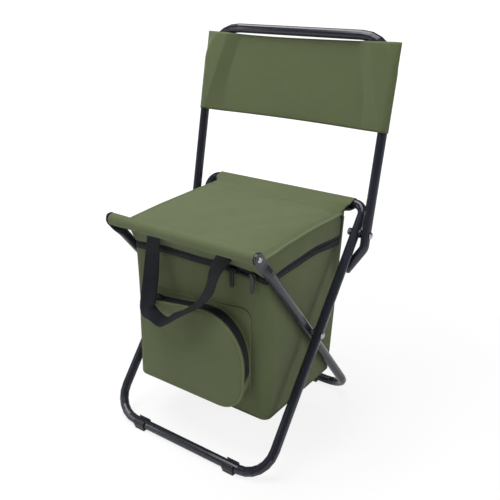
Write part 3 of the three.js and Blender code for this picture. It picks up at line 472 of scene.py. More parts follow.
def seat_profile():
    """Lengthwise section of the cloth, and the number of its points before the seat's own sheet."""
    (front_low, front_top), (rear_low, rear_top) = (
        [np.array([y, z]) for z in (SEAT_Z - LAYER, SEAT_Z)] for y in (FRONT_SEAM_Y, REAR_SEAM_Y))
    upper, _ = tangent_angles(FRONT_BAR, HEM_RADIUS, front_top)
    _, lower = tangent_angles(FRONT_BAR, HEM_RADIUS, front_low)
    front_arc = arc(FRONT_BAR, HEM_RADIUS, lower, upper - 2 * math.pi, 26)
    _, rear_upper = tangent_angles(REAR_BAR, HEM_RADIUS, rear_top)
    rear_lower, _ = tangent_angles(REAR_BAR, HEM_RADIUS, rear_low)
    rear_arc = arc(REAR_BAR, HEM_RADIUS, rear_upper, rear_lower - 2 * math.pi, 26)
    parts = [
        line(front_low + (6, 0), front_low, 2.0),
        line(front_low, front_arc[0], 2.0)[1:-1],
        front_arc,
        line(front_arc[-1], front_top, 2.0)[1:-1],
        line(front_top, rear_top, 2.4),
        line(rear_top, rear_arc[0], 1.2)[1:-1],
        rear_arc,
        line(rear_arc[-1], rear_low, 3.6)[1:],
        line(rear_low, rear_low - (6, 0), 2.0)[1:],
    ]
    return np.concatenate(parts), sum(len(p) for p in parts[:4])


def seat_half(y):
    hem = FRONT_HEM_HALF if y < 0 else REAR_HEM_HALF
    inside = min(y - NOTCH_FRONT_Y, NOTCH_REAR_Y - y)
    if inside <= 0:
        return hem
    rest = NOTCH_RADIUS - min(inside, NOTCH_RADIUS)
    return min(hem, SEAT_HALF + NOTCH_RADIUS - math.sqrt(NOTCH_RADIUS ** 2 - rest ** 2))


def seat_edge(x, y):
    """Height of the side seam, where the seat joins the skirt: the right side is drawn down further."""
    right = ease(y, [-120, -99, -51, 12, 65, 105], [342.5, 344.0, 347.2, 349.0, 347.8, 347.2])
    left = np.interp(y, [-120, -110, -48, 26, 72, 105], [350.6, 351.4, 355.2, 357.3, 358.2, 358.4])
    return np.where(np.asarray(x) > 0, right, left - 1.0)


def seat_height(x, y, z):
    """Slack, pulled folds and turned-down sides of the sheet between the hems."""
    side = np.abs(x)
    inner = between(y, -136, -100, 60, 105)
    z = z - 1.2 * inner * (1 - (x / 130) ** 2) + 2.2 * between(y, -95, 70, 82, 104)
    z = z + (1.5 * waves(x, y, 5, 85) + 0.35 * waves(x + 0.6 * y, y, 6, 30)) * inner
    z = z - 2.4 * bell(y, FRONT_SEAM_Y + 2, 4) - 1.1 * bell(y, REAR_SEAM_Y - 3, 4)
    folds = np.sin((side * 0.8 + y) / 7.0) * smooth(side, 70, 112)
    z = z + 0.7 * folds * (smooth(y, -131, -121) - smooth(y, -108, -81))
    turned = np.clip((side - 62) / (SEAT_HALF - 62), 0, 1) ** 2.2 * between(y, -131, -114, 93, 112)
    groove = between(side, 115, 120, 121, 124.5) * between(y, -122, -112, 84, 95)
    return z + (seat_edge(x, y) - z) * turned - 1.3 * groove


def make_seat():
    profile, sheet_from = seat_profile()
    crowding = 1.25  # the columns stand closer towards the sides
    across = np.sin(np.linspace(-1, 1, 71) * crowding) / math.sin(crowding)
    points = np.zeros((len(profile), len(across), 3))
    for i, (y, z) in enumerate(profile):
        points[i, :, 0] = across * seat_half(y)
        points[i, :, 1:] = y, z
    sheet = slice(sheet_from, np.argmax(profile[:, 1]))
    x, y, z = np.moveaxis(points[sheet], 2, 0)
    points[sheet, :, 2] = seat_height(x, y, z)
    upper = np.interp(profile[:, 0], profile[sheet, 0], profile[sheet, 1])
    for i, (y, z) in enumerate(profile):
        if FRONT_SEAM_Y - 1 < y < REAR_BAR[0] and z < upper[i] - 1:
            x = points[i, :, 0]
            points[i, :, 2] = np.minimum(z, seat_height(x, y, upper[i]) - LAYER)
    roll = profile[:, 0] < FRONT_SEAM_Y - 0.1
    x = points[roll][:, :, 0]
    away = points[roll][:, :, 1:] - FRONT_BAR
    gathers = 0.2 + 0.2 * waves(x, 0 * x, 3, 40)
    points[roll, :, 1:] = FRONT_BAR + away + unit(away) * gathers[:, :, None]
    seat = grid_piece("seat_cloth", points, cloth, flip=True, solid=1.3)
    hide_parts("seat_cover")
    between_bars(seat)

    edges = Build()
    y = np.linspace(-119, 101, 90)
    for hand, rise in ((-1, -0.4), (1, 0.8)):
        edges.rope(np.stack([hand * (SEAT_HALF + 1.2 + 0 * y), y, seat_edge(hand, y) + rise], 1), 1.6)
    piping = edges.make("seat_edge_piping", piping_cloth_painted_highlight)
    between_bars(piping)

    x, y = np.linspace(-110, 110, 120), np.linspace(-112, 92, 110)
    seams = [(x, 0 * x + at) for at in (FRONT_SEAM_Y + 1.5, REAR_SEAM_Y, REAR_SEAM_Y - 6)]
    seams += [(0 * y + at, y) for at in (-117, 117)]
    paths = [np.column_stack([x, y, seat_height(x, y, SEAT_Z + 0.65)]) for x, y in seams]
    threads = stitching("seat_stitching", [(path, (0, 0, 1)) for path in paths])
    between_bars(threads)


make_seat()


# Cooler bag

CORNERS = {"FR": (1, -1), "RR": (1, 1), "RL": (-1, 1), "FL": (-1, -1)}


def corner_radius(corner, z):
    if corner == "FL":
        return LEFT_CORNER
    if corner == "FR":
        return RIGHT_CORNER + 12 * between(z, 85, 140, 250, 302)
    return REAR_CORNER


def corner_point(corner, angle, z, inset):
    hand, end = CORNERS[corner]
    radius = corner_radius(corner, z)
    share = (z - BAG_BOTTOM) / (BAG_TOP - BAG_BOTTOM)
    rear = BAG_REAR_BOTTOM_Y + (BAG_REAR_TOP_Y - BAG_REAR_BOTTOM_Y) * share
    centre_y = rear - radius if end > 0 else BAG_FRONT_Y + radius
    reach = radius - inset
    return hand * (BAG_HALF - radius) + reach * math.cos(angle), centre_y + reach * math.sin(angle)


def bag_columns():
    """Columns of the wall, each between two corner points, all round from the front right corner."""
    start = {"FR": -90, "RR": 0, "RL": 90, "FL": 180}
    order = list(CORNERS)
    shares = np.concatenate([[0.005], np.linspace(0, 1, 33)[1:-1], [0.995]])
    columns = []
    for corner, after in zip(order, order[1:] + order[:1]):
        angles = np.radians(np.linspace(start[corner], start[corner] + 90, 10))
        columns += [((corner, a), (corner, a), 0.0) for a in angles]
        columns += [((corner, angles[-1]), (after, math.radians(start[after])), t) for t in shares]
    return columns


COLUMNS = bag_columns()


def bag_place(column, z, inset):
    *ends, t = column
    a, b = (np.array(corner_point(*end, z, inset)) for end in ends)
    return a * (1 - t) + b * t


def is_rear(column):
    """The rear wall reaches up to the seat, and the rest ends at the zip."""
    return all(corner in ("RR", "RL") for corner, _ in column[:2])


ZIP_AT = [-325, -247, -190, -126, -60, 0, 68, 103.5, 126, 190, 247, 325]
ZIP_MIDDLE = [300, 311, 309, 306, 311.5, 310.8, 312.3, 310.2, 306.2, 309.5, 311.5, 306]
ZIP_HALF = [7.7, 7.2, 7.2, 6.6, 6.6, 6.3, 6.3, 6.0, 5.4, 7.2, 7.4, 8.2]


def zip_way(x, y):
    """Length round the bag from the middle of its front, to the right."""
    return np.sign(x) * (np.abs(x) + np.clip(y - BAG_FRONT_Y, 0, None))


def zip_middle(x, y):
    return ease(zip_way(x, y), ZIP_AT, ZIP_MIDDLE)


def zip_half(x, y):
    return ease(zip_way(x, y), ZIP_AT, ZIP_HALF)


def left_corner(x, y):
    """The bag's left front corner stands out a little."""
    return -2.2 * smooth(-x, 104, 122) * smooth(-y, 84, 104)


def bag_bulge(x, y, z, inset):
    """Outward fullness of the walls, as a shift in x and y."""
    height = np.sin(np.pi * np.clip((z - BAG_BOTTOM) / (ZIP_BOTTOM - BAG_BOTTOM), 0, 1)) ** 0.8
    share = 1.0 if inset < 3 else 0.6
    side = smooth(np.abs(x), 112, 124)
    full = 0.3 * hump((y + 10) / 190) - 0.6
    full = full + np.clip(0.7 * waves(y * 1.4, z, 11, 130), -0.9, 0.6)
    dx = np.sign(x) * side * full * height
    front = smooth(-y, 92, 104)
    rear = smooth(y - (z - BAG_BOTTOM) * 0.12, 63, 77)
    dy = (4.0 * rear - front) * hump(x / 252) * height
    dy += 0.5 * waves(x, z, 12, 120) * height * (front + rear)
    return dx * share + left_corner(x, y), dy * share


def wall_place(column, z, inset):
    """A column's point at a height, with the wall's fullness."""
    x, y = bag_place(column, z, inset)
    dx, dy = bag_bulge(x, y, z, inset)
    return np.array([x + dx, y + dy, z])


def wall_top(column):
    """Height at which the wall meets the zip's tape."""
    edge = bag_place(column, ZIP_BOTTOM, 0.0)
    return float(zip_middle(*edge) - zip_half(*edge))


def wall_row(low, tops, level, inset, rise=0.0):
    """One row of the wall: level runs from 0 at the bottom to 1 at each column's own top."""
    heights = low + (np.array(tops) - low) * level
    return np.array([wall_place(c, z, inset) for c, z in zip(COLUMNS, heights)]) + (0, 0, rise)


def level_ring(z, inset, lift=0.0):
    """The bag's outline at a height."""
    ring = np.array([[*bag_place(c, z, inset), z + lift] for c in COLUMNS])
    ring[:, 0] += left_corner(ring[:, 0], ring[:, 1])
    return ring


def floor_ring(z, inset, share):
    """The floor's outline, drawn in towards its middle."""
    base = np.array([bag_place(c, z, inset) for c in COLUMNS])
    return (BAG_CENTRE + (base - BAG_CENTRE) * share).T


def make_bag():
    rows = []
    for share in (0, 0.2, 0.4, 0.6, 0.8, 0.92):
        x, y = floor_ring(BAG_BOTTOM, BOTTOM_ROUND, share)
        sag = 2.5 * (1 - share ** 2) - 0.4 * waves(x, y, 21, 90) * (share > 0)
        rows.append(np.column_stack([x, y, BAG_BOTTOM - sag]))
    for turn in np.linspace(0, math.pi / 2, 6)[:-1]:
        height, inset = BOTTOM_ROUND * (1 - math.cos(turn)), BOTTOM_ROUND * (1 - math.sin(turn))
        rows.append(level_ring(BAG_BOTTOM + height, inset))
    low = BAG_BOTTOM + BOTTOM_ROUND
    tops = [REAR_WALL_TOP if is_rear(c) else wall_top(c) for c in COLUMNS]
    rows += [wall_row(low, tops, level, 0.0) for level in np.linspace(0, 1, 44)]
    for turn in np.linspace(0, math.pi, 6)[1:-1]:
        rows.append(wall_row(low, tops, 1.0, BAG_WALL / 2 * (1 - math.cos(turn)), 1.2 * math.sin(turn)))
    rows += [wall_row(low, tops, level, BAG_WALL) for level in np.linspace(1, 0, 22)]
    for share in (0.97, 0.75, 0.4, 0):
        x, y = floor_ring(BAG_BOTTOM + 5, BAG_WALL + 1, share)
        rows.append(np.column_stack([x, y, 0 * x + BAG_BOTTOM + 4.6]))
    bag = grid_piece("bag_walls", rows, cloth, wrap=True, merge=0.01)
    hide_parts("bag_shell")
    fold_flat(bag, "cooler_bag")

    trim = Build()
    trim.rope(level_ring(BAG_BOTTOM + 4, 0.6, -0.8), 1.4, closed=True)
    for corner, angle in (("RR", 45), ("RL", 135)):
        z = np.linspace(BAG_BOTTOM + 8, 340, 60)
        place = np.array([corner_point(corner, math.radians(angle), h, -0.4) for h in z])
        trim.rope(np.column_stack([place, z]), 1.2)
    fold_flat(trim.make("bag_seam_piping", piping_cloth_painted_highlight), "cooler_bag")

    top = [c for c in COLUMNS if not is_rear(c)]
    start = next(i for i, c in enumerate(top) if c[0][0] == "RL")
    path = np.array([wall_place(c, wall_top(c) - 4, 0.0) for c in top[start:] + top[:start]])
    out = unit(np.cross(np.gradient(path, axis=0), (0, 0, 1.0)))
    fold_flat(stitching("bag_stitching", [(path, out)]), "cooler_bag")


make_bag()


def make_liner():
    inset, thick = BAG_WALL + 0.4, 0.7
    low = BAG_BOTTOM + 8
    tops = [wall_top(c) - 3 for c in COLUMNS]
    rows = []

    def floor(depth, z, shares):
        for share in shares:
            x, y = floor_ring(BAG_BOTTOM + 6, depth, share)
            rows.append(np.column_stack([x, y, z + 0.4 * share * waves(x, y, 31, 70)]))

    floor(inset, BAG_BOTTOM + 5.4, (0, 0.5, 0.97))
    for depth, levels in ((inset, np.linspace(0, 1, 14)), (inset + thick, np.linspace(1, 0, 14))):
        rows.extend(wall_row(low, tops, level, depth) for level in levels)
    floor(inset + thick, BAG_BOTTOM + 6.4, (0.97, 0.5, 0))
    liner = grid_piece("bag_lining", rows, lining, wrap=True, merge=0.01)
    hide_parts("bag_liner")
    fold_flat(liner, "cooler_bag")


make_liner()


def make_rear_facing():
    """Loose cloth inside the rear wall, which closes the gap below the rear hem in the folded pose."""
    columns = [c for c in COLUMNS if is_rear(c)][7:-7]
    rows = []
    for z in np.linspace(FACING_BOTTOM, FACING_TOP, 16):
        x = np.array([bag_place(c, z, FACING_INSET)[0] for c in columns])
        row = np.array([wall_place(c, z, FACING_INSET) for c in columns])
        row[:, 1] += 0.35 * waves(x, z, 61, 60)
        rows.append(row)
    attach(grid_piece("rear_wall_facing", rows, cloth, solid=0.8), "outer_frame")


make_rear_facing()


# Zip round the front and both sides

def u_path(inset, front_y=BAG_FRONT_Y, spacing=2.2):
    """Points from the left rear end, round the front, to the right rear end."""
    along = int((ZIP_REAR_Y - BAG_FRONT_Y) / spacing)
    around = int(RIGHT_CORNER * 1.8 / spacing) + 2
    parts = []
    for radius in (LEFT_CORNER, RIGHT_CORNER):
        x, front = BAG_HALF - radius, front_y + radius
        side = np.linspace((-BAG_HALF + inset, ZIP_REAR_Y), (-BAG_HALF + inset, front), along)
        corner = arc((-x, front), radius - inset, math.pi, 1.5 * math.pi, around)
        parts.append(np.concatenate([side, corner[1:]]))
    left, right = parts[0], parts[1][::-1] * (-1, 1)
    face = np.linspace(left[-1], right[0], int(2 * BAG_HALF / spacing))
    return np.concatenate([left, face[1:-1], right])


def in_space(directions):
    return np.column_stack([directions, 0 * directions[:, 0]])


def zip_open(x, y):
    """The zip gapes a little between its two sliders."""
    return 1.5 * between(zip_way(x, y), 68, 82, 90, 103)


def tape(name, hand, body, node):
    x, y = u_path(0.9).T
    middle, half, gape = zip_middle(x, y), zip_half(x, y), zip_open(x, y)
    rows = []
    for share in np.linspace(0, 1, 6):
        height = (1.0 + gape) * (1 - share) + (half + 1.5) * share
        rows.append(np.column_stack([x + left_corner(x, y), y, middle + hand * height]))
    made = grid_piece(name, rows, webbing, flip=hand < 0, solid=1.1)
    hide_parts(node)
    fold_flat(made, body)


def make_zip():
    tape("zip_tape_low", -1, "cooler_bag", "zip_tape_lower")
    tape("zip_tape_high", 1, "cooler_lid", "zip_tape_upper")
    path = u_path(0.6, spacing=2.0)
    along, out = (in_space(way) for way in outward(path))
    x, y = path.T
    teeth = Build()
    for first, hand in ((0, -1), (1, 1)):
        height = zip_middle(x, y) + hand * (0.6 + zip_open(x, y))
        places = np.column_stack([x + left_corner(x, y), y, height])
        every = slice(first, None, 2)
        teeth.blocks(places[every], along[every], np.array([0, 0, 1.0]), out[every], (1.4, 3.4, 2.4))
    chain = teeth.make("zip_teeth", plastic, shade=False)
    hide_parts("zip_chain")
    fold_flat(chain, "cooler_bag")


make_zip()


# Lid: skirt and pad

def skirt_front(z):
    return np.interp(z, [ZIP_TOP, BAG_TOP], [BAG_FRONT_Y, LID_FRONT_Y])


def skirt_row(level, inset):
    """One row of the skirt: level runs from 0 at the zip to 1 at the seat's edge."""
    path = u_path(inset, front_y=skirt_front(ZIP_TOP + (BAG_TOP - ZIP_TOP) * level))
    x, y = path.T
    _, out = outward(path)
    front = 1 - smooth(y, LID_FRONT_Y, -108)
    low = zip_middle(x, y) + zip_half(x, y)
    high = seat_edge(x, y) + (BAG_TOP - seat_edge(x, y)) * front
    z = low + (high - low) * level
    flat = bell(x, STRAP_LEFT_X, 17) + bell(x, STRAP_RIGHT_X, 17)
    pucker = 0.6 + 0.8 * waves(x * 1.2, y * 1.2 + 0.25 * z, 41, 60)
    full = math.sin(math.pi * level) * pucker * (1 - front * np.clip(flat, 0, 1))
    path = path + out * (full - 1.2 * smooth(level, 0.8, 1))[:, None]
    return np.column_stack([path[:, 0] + left_corner(x, y) * (1 - level), path[:, 1], z]), out


def make_skirt():
    rows = [skirt_row(level, 0.2)[0] for level in np.linspace(0, 1, 15)]
    skirt = grid_piece("lid_skirt_cloth", rows, cloth, solid=1.3)
    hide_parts("lid_skirt")
    fold_flat(skirt, "cooler_lid")
    path, out = skirt_row(0.09, -0.45)
    threads = stitching("lid_skirt_stitching", [(path, in_space(out))])
    fold_flat(threads, "cooler_lid")


make_skirt()


def make_lid_pad():
    front, rear, half = -103.0, 79.0, 104.0
    grid_x, grid_y = np.meshgrid(np.linspace(-1, 1, 41), np.linspace(-1, 1, 33))
    x = half * grid_x
    y = (front + rear) / 2 + (rear - front) / 2 * grid_y
    swell = np.sqrt(np.clip(1 - np.maximum(np.abs(grid_x), np.abs(grid_y)) ** 6, 0, 1))
    quilt = np.abs(np.sin(np.pi * x / 57)) * np.abs(np.sin(np.pi * y / 46))
    upper = np.minimum(351.3 + 0.8 * swell, seat_height(x, y, SEAT_Z) - 1.6)
    top = np.dstack([x, y, upper])
    low = np.dstack([x, y, upper - 1.1 - (2.6 + 0.6 * quilt) * swell])
    build = Build()
    build.grid(top)
    build.grid(low, flip=True)
    border = lambda g: np.concatenate([g[0], g[1:, -1], g[-1, -2::-1], g[-2:0:-1, 0]])
    build.grid(np.array([border(low), border(top)]), wrap=True)
    pad = build.make("lid_insulation", lining, merge=0.05)
    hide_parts("lid_pad")
    fold_flat(pad, "cooler_lid")


make_lid_pad()


# Front pocket

RING_POINTS = 210


def d_outline(left, right, low, high, slope, radii):
    """A closed outline of four arcs joined by straight runs, at even lengths."""
    lower_left, lower_right, upper_right, upper_left = radii
    turns = [
        ((left + lower_left, low + lower_left), lower_left, 180),
        ((right - lower_right, low + lower_right), lower_right, 270),
        ((right - upper_right, high - upper_right), upper_right, 0),
        ((left + upper_left, high - slope - upper_left), upper_left, 90),
    ]
    ring = loop(np.concatenate([arc(centre, radius, *np.radians([start, start + 90]), 18)
                                for centre, radius, start in turns]))
    ends = lengths(ring)
    return sample(ring, ends, np.linspace(0, ends[-1], RING_POINTS, endpoint=False))


def at_depth(ring, y):
    return np.column_stack([ring[:, 0], np.broadcast_to(y, len(ring)), ring[:, 1]])


def on_wall(ring, out):
    """A ring lying on the bag's front wall."""
    x, z = ring.T
    return at_depth(ring, BAG_FRONT_Y + bag_bulge(x, 0 * x + BAG_FRONT_Y, z, 0.0)[1] - out)


POCKET_RING = d_outline(POCKET_LEFT, POCKET_RIGHT, POCKET_BOTTOM, POCKET_TOP, POCKET_SLOPE, (5, 45, 76, 6))
POCKET_NORMALS = outward(POCKET_RING, closed=True)[1]
GUSSET_DEPTH = 24.5


def pocket_share(z):
    return np.clip((z - POCKET_BOTTOM) / (POCKET_TOP - POCKET_BOTTOM), 0, 1)


def pocket_lean(z):
    """The pocket's front leans back a little towards its top."""
    return 4.5 * pocket_share(z)


def gusset(level, out=0.0):
    """A row of the gusset, from the wall, at 0, to the front's rounded edge, at 1. Its base leans in."""
    bend = math.sin(math.pi * level)
    ripple = 0.5 * waves(np.arange(len(POCKET_RING)) * 4.0, 12 * level, 52, 60)
    leaning = smooth(POCKET_RING[:, 0], 30, 90) * (1 - level)
    ring = POCKET_RING + np.column_stack([-7.0 * leaning, 5.0 * leaning])
    ring = ring + POCKET_NORMALS * (out + bend * (ripple - 1.1))[:, None]
    return at_depth(ring, BAG_FRONT_Y - 0.5 - (GUSSET_DEPTH - pocket_lean(POCKET_RING[:, 1])) * level)


def pocket_face(x, z):
    """Fullness of the pocket's front, most in its lower half."""
    low = np.sin(np.pi * np.clip(pocket_share(z) * 1.35, 0, 1)) ** 2
    return 1.4 * low * hump((x - 2) / 200) + 0.5 * waves(x, z, 51, 85) * low


def make_pocket():
    ring, normals = POCKET_RING, POCKET_NORMALS
    front = lambda spots: POCKET_FRONT_Y + pocket_lean(spots[:, 1])
    rows = [gusset(level) for level in np.linspace(0, 1, 13)]
    for turn in np.linspace(0, math.pi / 2, 5)[1:]:
        inset = 3.5 * (1 - math.cos(turn))
        rows.append(at_depth(ring - normals * inset, front(ring) + 4 - 4 * math.sin(turn)))
    centre = np.array([2.0, 165.0])
    base = ring - normals * 3.5
    for share in (0.97, 0.92, 0.84, 0.74, 0.62, 0.5, 0.38, 0.26, 0.14, 0):
        inner = centre + (base - centre) * share
        rows.append(at_depth(inner, front(inner) - pocket_face(inner[:, 0], inner[:, 1]) * (1 - share ** 6)))
    pocket = grid_piece("pocket_cloth", rows, cloth, wrap=True, solid=1.0, merge=0.01)
    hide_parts("front_pocket")
    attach(pocket, "bag_front")

    patch = d_outline(-103, 97, 91, 254.5, 13.5, (8, 40, 15, 8))
    inward = -outward(patch, closed=True)[1]
    middle = patch.mean(0)
    rows = [on_wall(patch, -0.8), on_wall(patch, 0.6), on_wall(patch + inward * 1.5, 1.2)]
    rows += [on_wall(middle + (patch - middle) * share, 1.2) for share in (0.95, 0.9, 0.85, 0.8, 0.75, 0.7)]
    flange = grid_piece("pocket_flange", rows, cloth, wrap=True, solid=0.8)
    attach(flange, "bag_front")

    trim = Build()
    trim.rope(at_depth(ring - normals * 0.4, front(ring) + 1.4), 1.6, closed=True)
    trim.rope(gusset(0.07, 1.0), 1.2, closed=True)
    trim.rope(on_wall(patch, 1.4), 0.9, closed=True)
    piping = trim.make("pocket_piping", piping_cloth_painted_highlight)
    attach(piping, "bag_front")

    paths = at_depth(ring - normals * 5.2, front(ring) - 0.4), on_wall(patch + inward * 4, 1.65)
    threads = stitching("pocket_stitching", [(loop(path), (0, -1, 0)) for path in paths])
    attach(threads, "bag_front")

    along_zip = (ring[:, 1] > POCKET_ZIP_END) & (ring[:, 0] > POCKET_LEFT + 10)
    start = next(i for i in range(len(ring)) if along_zip[i] and not along_zip[i - 1])
    keep = np.arange(start, start + along_zip.sum())
    rows = [gusset(level, 0.8)[keep] for level in np.linspace(0.2, 0.97, 10)]
    band = grid_piece("pocket_zip_tape", rows, webbing, flip=True, solid=0.9)
    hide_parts("pocket_zip")
    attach(band, "bag_front")
    teeth = Build()
    pitch = 2.6
    for first, level in ((0, 0.54), (0.5, 0.6)):
        path = gusset(level, 1.5)[keep]
        ends = lengths(path)
        at = np.arange(1 + first * pitch, ends[-1] - 1, pitch)
        way = unit(sample(normals[keep], ends, at))
        alongs, outs = at_depth(way[:, ::-1] * (-1, 1), 0.0), at_depth(way, 0.0)
        teeth.blocks(sample(path, ends, at), alongs, np.array([0, 1.0, 0]), outs, (1.2, 2.6, 1.0))
    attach(teeth.make("pocket_zip_teeth", plastic, shade=False), "bag_front")


make_pocket()


# Carrying strap

def smooth_curve(points, count):
    """Centripetal spline through the points, at even lengths."""
    points = np.asarray(points, float)
    points = np.concatenate([[2 * points[0] - points[1]], points, [2 * points[-1] - points[-2]]])
    fine = []
    for p0, p1, p2, p3 in zip(points, points[1:], points[2:], points[3:]):
        d0, d1, d2 = (math.sqrt(np.linalg.norm(b - a)) for a, b in ((p0, p1), (p1, p2), (p2, p3)))
        t1 = ((p1 - p0) / d0 - (p2 - p0) / (d0 + d1) + (p2 - p1) / d1) * d1
        t2 = ((p2 - p1) / d1 - (p3 - p1) / (d1 + d2) + (p3 - p2) / d2) * d1
        for t in np.linspace(0, 1, 40, endpoint=False):
            fine.append((2 * t ** 3 - 3 * t ** 2 + 1) * p1 + (t ** 3 - 2 * t ** 2 + t) * t1
                        + (3 * t ** 2 - 2 * t ** 3) * p2 + (t ** 3 - t ** 2) * t2)
    fine = np.array(fine + [points[-2]])
    ends = lengths(fine)
    return sample(fine, ends, np.linspace(0, ends[-1], count))


def ribbon(name, middle, across):
    """A piece of webbing along its middle line, with its edges rounded and its ends drawn in."""
    along = ways(middle)
    across = unit(across - along * (across * along).sum(1)[:, None])
    through = np.cross(along, across)
    outline = [(s, -1) for s in np.linspace(-0.96, 0.96, 9)] + [(1, 0)]
    outline += [(s, 1) for s in np.linspace(0.96, -0.96, 9)] + [(-1, 0)]
    columns = []
    for a, t in outline:
        ridge = 1 + 0.12 * math.cos(a * 4 * math.pi)
        columns.append(middle + across * a * STRAP_WIDTH / 2 + through * t * STRAP_THICK / 2 * ridge)
    rings = np.stack(columns, 1)
    first, last = rings[0].mean(0), rings[-1].mean(0)
    rings = np.concatenate([[first + (rings[0] - first) * 0.3], rings, [last + (rings[-1] - last) * 0.3]])
    return grid_piece(name, rings, webbing, wrap=True)


# Stops on the loop's way: share to the right, depth to the front, height, and the strap's width there
STRAP_WAY = [
    ((-1, 0, 0.995), (1, 0, 0)),
    ((-1, 0.03, 0.93), (1, 0, 0)),
    ((-1.01, 0.32, 0.47), (0.92, 0.4, -0.05)),
    ((-0.95, 0.74, 0.21), (0.9, 0.44, -0.03)),
    ((-0.89, 0.96, 0.09), (0.8, 0.53, 0.28)),
    ((-0.66, 1.03, 0.035), (0.25, 0.97, 0.05)),
    ((-0.4, 1.05, 0), (-0.05, 0.98, 0.2)),
    ((-0.19, 1.03, 0.08), (-0.22, 0.94, 0.27)),
    ((0.05, 0.99, 0.17), (-0.22, 0.97, 0.12)),
    ((0.29, 0.87, 0.27), (-0.31, 0.95, 0.08)),
    ((0.53, 0.67, 0.39), (-0.56, 0.81, 0.19)),
    ((0.71, 0.46, 0.56), (-0.82, 0.53, 0.21)),
    ((0.77, 0.24, 0.76), (-0.9, 0.37, 0.22)),
    ((0.9, 0.08, 0.91), (-1, 0.1, 0)),
    ((1, 0, 1), (-1, 0, 0)),
]


def strap_back(z):
    return skirt_front(z) - 0.6


def make_strap():
    top_y = strap_back(STRAP_TOP) - STRAP_THICK / 2
    low_y = POCKET_FRONT_Y - 0.6 - STRAP_WIDTH / 2
    stops = []
    for (share, depth, height), across in STRAP_WAY:
        x = STRAP_LEFT_X + (STRAP_RIGHT_X - STRAP_LEFT_X) * (share + 1) / 2
        z = STRAP_LOWEST + (STRAP_TOP - STRAP_LOWEST) * height
        stops.append((x, top_y + (low_y - top_y) * depth, z, *(MM * a for a in across)))
    way = smooth_curve(stops, 170)
    strap = ribbon("strap_loop", way[:, :3], way[:, 3:] / MM)
    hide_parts("carry_strap")
    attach(strap, "carry_strap")

    for middle, side in ((STRAP_LEFT_X, "left"), (STRAP_RIGHT_X, "right")):
        heights = np.linspace(STRAP_SEWN_TOP, STRAP_TOP + 0.1, 14)
        tab = [(middle, strap_back(z) - STRAP_THICK / 2, z) for z in heights]
        tail = [(middle, y, STRAP_SEWN_TOP + 0.9) for y in np.linspace(-109.4, -125.9, 6)]
        end = ribbon(f"strap_tab_{side}", np.array(tail + tab), np.array([1.0, 0, 0]))
        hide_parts(f"strap_end_{side}")
        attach(end, "lid_front")
        corners = itertools.product((middle - 10, middle + 10), (STRAP_TOP + 1.5, STRAP_SEWN_TOP - 1.5))
        seams = []
        for a, b in itertools.combinations(corners, 2):
            x, z = np.linspace(a, b, 12).T
            path = np.column_stack([x, strap_back(z) - STRAP_THICK - 0.05, z])
            seams.append((path, (0, -0.9, -0.43), 2.2, 0.8))
        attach(stitching(f"strap_stitching_{side}", seams, dark_thread), "lid_front")


make_strap()


# Backrest panel

BACK_UP = np.array([math.sin(BACK_LEAN), math.cos(BACK_LEAN)])
BACK_LENGTH = (BACK_TOP - BACK_BOLT[1]) / BACK_UP[1]
PANEL_LOW, PANEL_HIGH = ((z - BACK_BOLT[1]) / BACK_UP[1] for z in (PANEL_BOTTOM, PANEL_TOP))


def on_back(x, along, out):
    y = BACK_BOLT[0] + along * BACK_UP[0] - out * BACK_UP[1]
    z = BACK_BOLT[1] + along * BACK_UP[1] + out * BACK_UP[0]
    return np.stack(np.broadcast_arrays(x, y, z), -1)


def sleeve_outline(along, count, thin=0.0):
    """Front half of the sleeve, from its outer edge to its seam: place across and half thickness."""
    rise = max(0.0, along - (BACK_LENGTH - BACK_BEND))
    bend = BACK_LEG_X - BACK_BEND
    outer = bend + math.sqrt((BACK_BEND + TUBE_RADIUS) ** 2 - rise ** 2) - TUBE_RADIUS
    inner = np.interp(along, [PANEL_LOW, PANEL_HIGH], [BACK_LEG_X, PANEL_SEAM_X])
    drawn, flat = SLEEVE_RADIUS - thin, 0.7 - 0.8 * thin
    seam = min(PANEL_SEAM_X, inner - 24)
    spots = [(outer, drawn), (inner, drawn), (PANEL_EDGE_X - 0.7, flat), (seam, flat)]
    outline = []
    for angle in np.linspace(0, math.pi, 120):
        x, r = max(spots, key=lambda spot: spot[0] * math.cos(angle) + spot[1])
        outline.append((x + r * math.cos(angle), r * math.sin(angle)))
        if x == seam:
            break
    outline = np.array(outline)
    ends = lengths(outline)
    return sample(outline, ends, np.linspace(0, ends[-1], count)).T


def panel_middle(x):
    return np.clip(1 - (x / PANEL_SEAM_X) ** 2, 0, 1)


def panel_sag(x, share):
    """The top edge dips between the sleeves and stands up at its corners; the lower edge rises a little."""
    top = 1.4 * smooth(np.abs(x), 140, 178) - (1.6 - x / PANEL_SEAM_X) * panel_middle(x)
    return share * top + (1 - share) * 1.5 * panel_middle(x)


def panel_curve(x, share):
    """The cloth between the sleeves hangs back a little and has soft pulled folds."""
    rounds = np.sin(np.pi * np.clip(share, 0, 1))
    return panel_middle(x) * (0.5 * waves(x, share * 130, 61, 110) * (0.4 + 0.6 * rounds) - 2.0)


def panel_row(share, within=0.0, thin=0.0):
    """One loop of the panel, round its front and then its back."""
    along = PANEL_LOW + (PANEL_HIGH - PANEL_LOW) * share
    side, half = sleeve_outline(along, 34, thin)
    middle = np.linspace(side[-1], -side[-1], 57)[1:-1]
    x = np.concatenate([side, middle, -side[::-1]])
    half = np.concatenate([half, np.full(len(middle), half[-1]), half[::-1]])
    level = along + panel_sag(x, share) + within
    shift = panel_curve(x, share)
    front, back = on_back(x, level, shift + half), on_back(x, level, shift - half)
    return np.concatenate([front, back[::-1][1:-1]])


